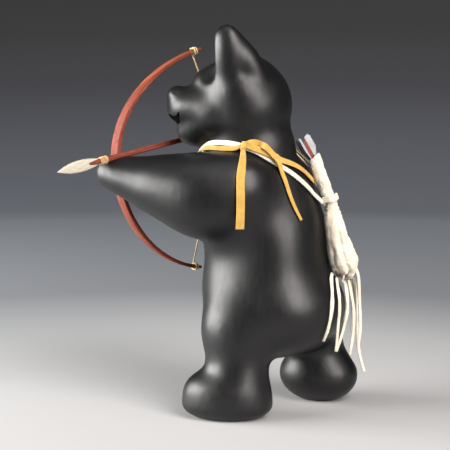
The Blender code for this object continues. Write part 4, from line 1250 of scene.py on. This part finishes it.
def build_quiver(middles, outs, hide):
    per = 12
    centres, facings = smooth_route(middles, per), smooth_route(outs, per)
    halves = smooth_route([Vector((width, depth, 0)) * QUIVER_RADIUS for _, width, depth in QUIVER], per)
    walks = distances(centres)
    total = walks[-1]
    rings, hollow = [], []
    for centre, along, facing, half, walked in zip(centres, tangents(centres), facings, halves, walks):
        share = walked / total
        across = along.cross(facing).normalized()
        out = across.cross(along)
        # The mouth is cut slanting, lower towards the bear's back, and the foot is a ragged frill.
        mouth = MOUTH_SLANT * max(0.0, 1 - share / 0.10)
        hem = max(0.0, (share - 0.90) / 0.10)
        crease = 0.00035 * exp(-((share - 0.47) / 0.09) ** 2)
        ring = []
        for side, turn in enumerate(turns(QUIVER_SIDES)):
            degrees = 360 * side / QUIVER_SIDES
            normal = across * cos(turn) + out * sin(turn)
            spot = centre + across * (half.x * cos(turn)) + out * (half.y * sin(turn))
            soft = 0.00075 * wobble(spot, 150, 5.0) + 0.00045 * wobble(spot, 420, 8.0)
            soft += 0.00022 * wobble(spot, 1300, 3.0)
            wrinkle = crease * sin(share * 190 + 2.2 * sin(2 * turn))
            # The holes are dented and marked for painted shade.
            hollow.append(in_hole(degrees, walked, total, half.x))
            spot += normal * (soft + wrinkle - fold_depth(degrees, share) - HOLE_DEPTH * hollow[-1])
            slant = mouth * (0.5 - 0.5 * sin(turn))
            frill = hem * (0.0016 * sin(7 * turn + 1.0) + 0.0010 * sin(13 * turn))
            ragged = hem * (0.0022 * sin(5 * turn + 2.0) + 0.0012 * sin(11 * turn))
            ring.append(spot + (normal * frill + along * (slant + ragged)))
        rings.append(ring)
    mesh = loft("buckskin_quiver", rings, open_start=True)
    mesh.attributes.new("hollow", "FLOAT", "POINT").data.foreach_set("value", hollow)
    quiver = add("buckskin_quiver", mesh, *hide, "quiver")
    wall = quiver.modifiers.new("wall", "SOLIDIFY")
    wall.thickness = 0.0010
    wall.offset = -1.0


def build_spare_arrow(middles, wood, feather):
    top, tie = middles[0], middles[QUIVER_STRAIGHT - 1]
    crossing = top + (tie - top).normalized() * SPARE_CROSSING
    nock = place(*SPARE_NOCK)
    matrix = aim_matrix(nock, crossing - nock, Vector((-1, 0, 0)))
    shaft = moved(turned_mesh("spare_shaft", shaft_profile(SPARE_SHAFT_LENGTH, 0, 40), 5.0, 0.02), matrix)
    slot = moved(slot_box(STRING_DIAMETER / 2 + FIT_GAP, -SHAFT_DIAMETER, NOCK_DEPTH), matrix)
    add("spare_red_shaft", cut(shaft, [slot], sharp=35), wood, "red_wood", "spare_arrow_shaft")
    for i in (1, 2, 3):
        vane = moved(vane_mesh(), Matrix.Rotation(radians(120 * i - 60), 4, "Z"))
        add(f"feather_vane_{i}", moved(vane, matrix), feather, "grey_feather", f"spare_arrow_vane_{i}")


FRINGE_POINTS = [
    [(1, 52, 117), (6, 51, 116), (12, 52, 111), (21, 56, 97), (26, 55, 81), (20, 50, 64)],
    [(-2, 55, 113), (3, 54, 110), (14, 59, 96), (13, 60, 77), (12, 60, 62), (10, 58, 54)],
    [(-10, 57, 111), (-12, 60, 110), (-12, 61, 103), (-7, 62, 88), (-5, 62, 75), (-5, 58, 60), (-6, 54, 50)],
    [(-14, 61, 112), (-16, 62, 107), (-17, 64, 96), (-16, 67, 83), (-16, 67, 71), (-16, 65, 58),
     (-16, 63, 46)],
    [(-21, 60, 116), (-25, 62, 110), (-26, 63, 99), (-26, 63, 81), (-26, 62, 64)],
    [(-17, 67, 120), (-19, 69, 115), (-20, 70, 108), (-20, 69, 92), (-20, 71, 78), (-20, 72, 68),
     (-20, 69, 52)],
    [(-21, 64, 113), (-25, 66, 104), (-27, 66, 84), (-28, 66, 66), (-28, 66, 50), (-30, 69, 39),
     (-31, 72, 29)],
]
FRINGE_TURN = 0.95               # how far the strips' faces turn to the bear's left
FRINGE_WIDTHS = [FRINGE_WIDTH * share for share in (1.0, 1.05, 0.95, 1.0, 0.9, 0.95, 0.75)]


def build_fringe(skin, hide):
    for number, points in enumerate(FRINGE_POINTS, start=1):
        route, facings = hang(skin, points, FRINGE_WIDTH, 2)
        turn = FRINGE_TURN + 0.25 * sin(2.4 * number)
        facings = evened([(facing + Vector((turn, 0, 0))).normalized() for facing in facings], 4)
        route = keep_off(skin, route, facings, FRINGE_WIDTH)
        strip = add_band(f"fringe_strip_{number}", hide, [f"fringe_{number}"], route, facings, FRINGE_WIDTHS,
                         50 + 3 * number, thickness=0.0013, twist=0.35, cup=0.0001, ragged=0.00025)


# The bear, with its openings for the bow, the arrow and the string

STRING_REACH = 0.030


def build_bear(clay, burnished, dull_and_shaded_clay):
    matrix = arrow_frame()
    radius = SHAFT_DIAMETER / 2 + SLOT_GAP
    channel = [(radius, -NOCK_DEPTH - SLOT_GAP), (radius, arrow_shoulder(matrix))]
    rest = moved(turned_mesh("rest", channel), matrix)
    gap = STRING_DIAMETER + 2 * SLOT_GAP
    above, below = ((spot - NOCK).normalized() * STRING_REACH for spot in string_points()[1][::2])
    forward = AIM * STRING_REACH
    fan = [-AIM * gap, above - AIM * gap, above + forward, below + forward, below - AIM * gap]
    slot = loft("slot", [[NOCK + p + BESIDE * (side * gap / 2) for p in fan] for side in (-1, 1)])
    floor = box_mesh(Vector((-1, -1, -0.1)), Vector((1, 1, 0)))
    mouth = mouth_mesh()
    for mesh in (clay, clay, mouth, mouth):
        mesh.materials.append(None)
    bear = cut(clay, [floor, stave_mesh("hole", SLOT_GAP, 32, 0.0), rest, slot, mouth], sharp=50)
    inside = [polygon.material_index for polygon in bear.polygons]
    add("burnished_bear", bear, burnished, "burnished_clay", "bear")
    # Painted shade: the mouth's and nostrils' cut faces take the darker dull clay.
    bear.materials.append(dull_and_shaded_clay)
    bear.polygons.foreach_set("material_index", inside)


def build():
    make_camera()
    make_lights()
    make_floor()
    clay, wood, bone = clay_material(), wood_material(), bone_material()
    thread = thread_material("pale_thread", (0.66, 0.52, 0.24), (0.48, 0.31, 0.10))
    binding = thread_material("binding_thread", (0.68, 0.52, 0.28), (0.50, 0.20, 0.06))
    white = hide_material("white_buckskin", (0.76, 0.70, 0.58), (0.64, 0.58, 0.45), (0.46, 0.37, 0.23), 0.75)
    yellow = hide_material("yellow_suede", (0.55, 0.34, 0.075), (0.45, 0.26, 0.05), (0.34, 0.18, 0.03), 0.45)
    white_hide = (white, "white_buckskin")
    feather = feather_material()

    skin_mesh = fine_clay()
    skin = Skin(skin_mesh)
    add("red_bow", stave_mesh("red_bow", 0.0, 90, BOW_CORNER), wood, "red_wood", "bow")
    build_string(thread)
    build_arrow(wood, bone, binding)
    middles, outs = quiver_line(skin)
    build_quiver(middles, outs, white_hide)
    build_spare_arrow(middles, wood, feather)
    tie = middles[QUIVER_STRAIGHT - 1]
    down = (tie - middles[0]).normalized()
    tie_frame = aim_matrix(tie - down * (TIE_WIDTH / 2), down, outs[QUIVER_STRAIGHT - 1].cross(down))
    strap, strap_facings, band, band_facings = neck_routes(skin)
    build_strap(strap, strap_facings, tie_frame, white_hide)
    build_lace(skin, band, band_facings, strap, (yellow, "yellow_suede"))
    build_fringe(skin, white_hide)
    build_bear(skin_mesh, clay, dull_clay_with_painted_shade_material())


build()
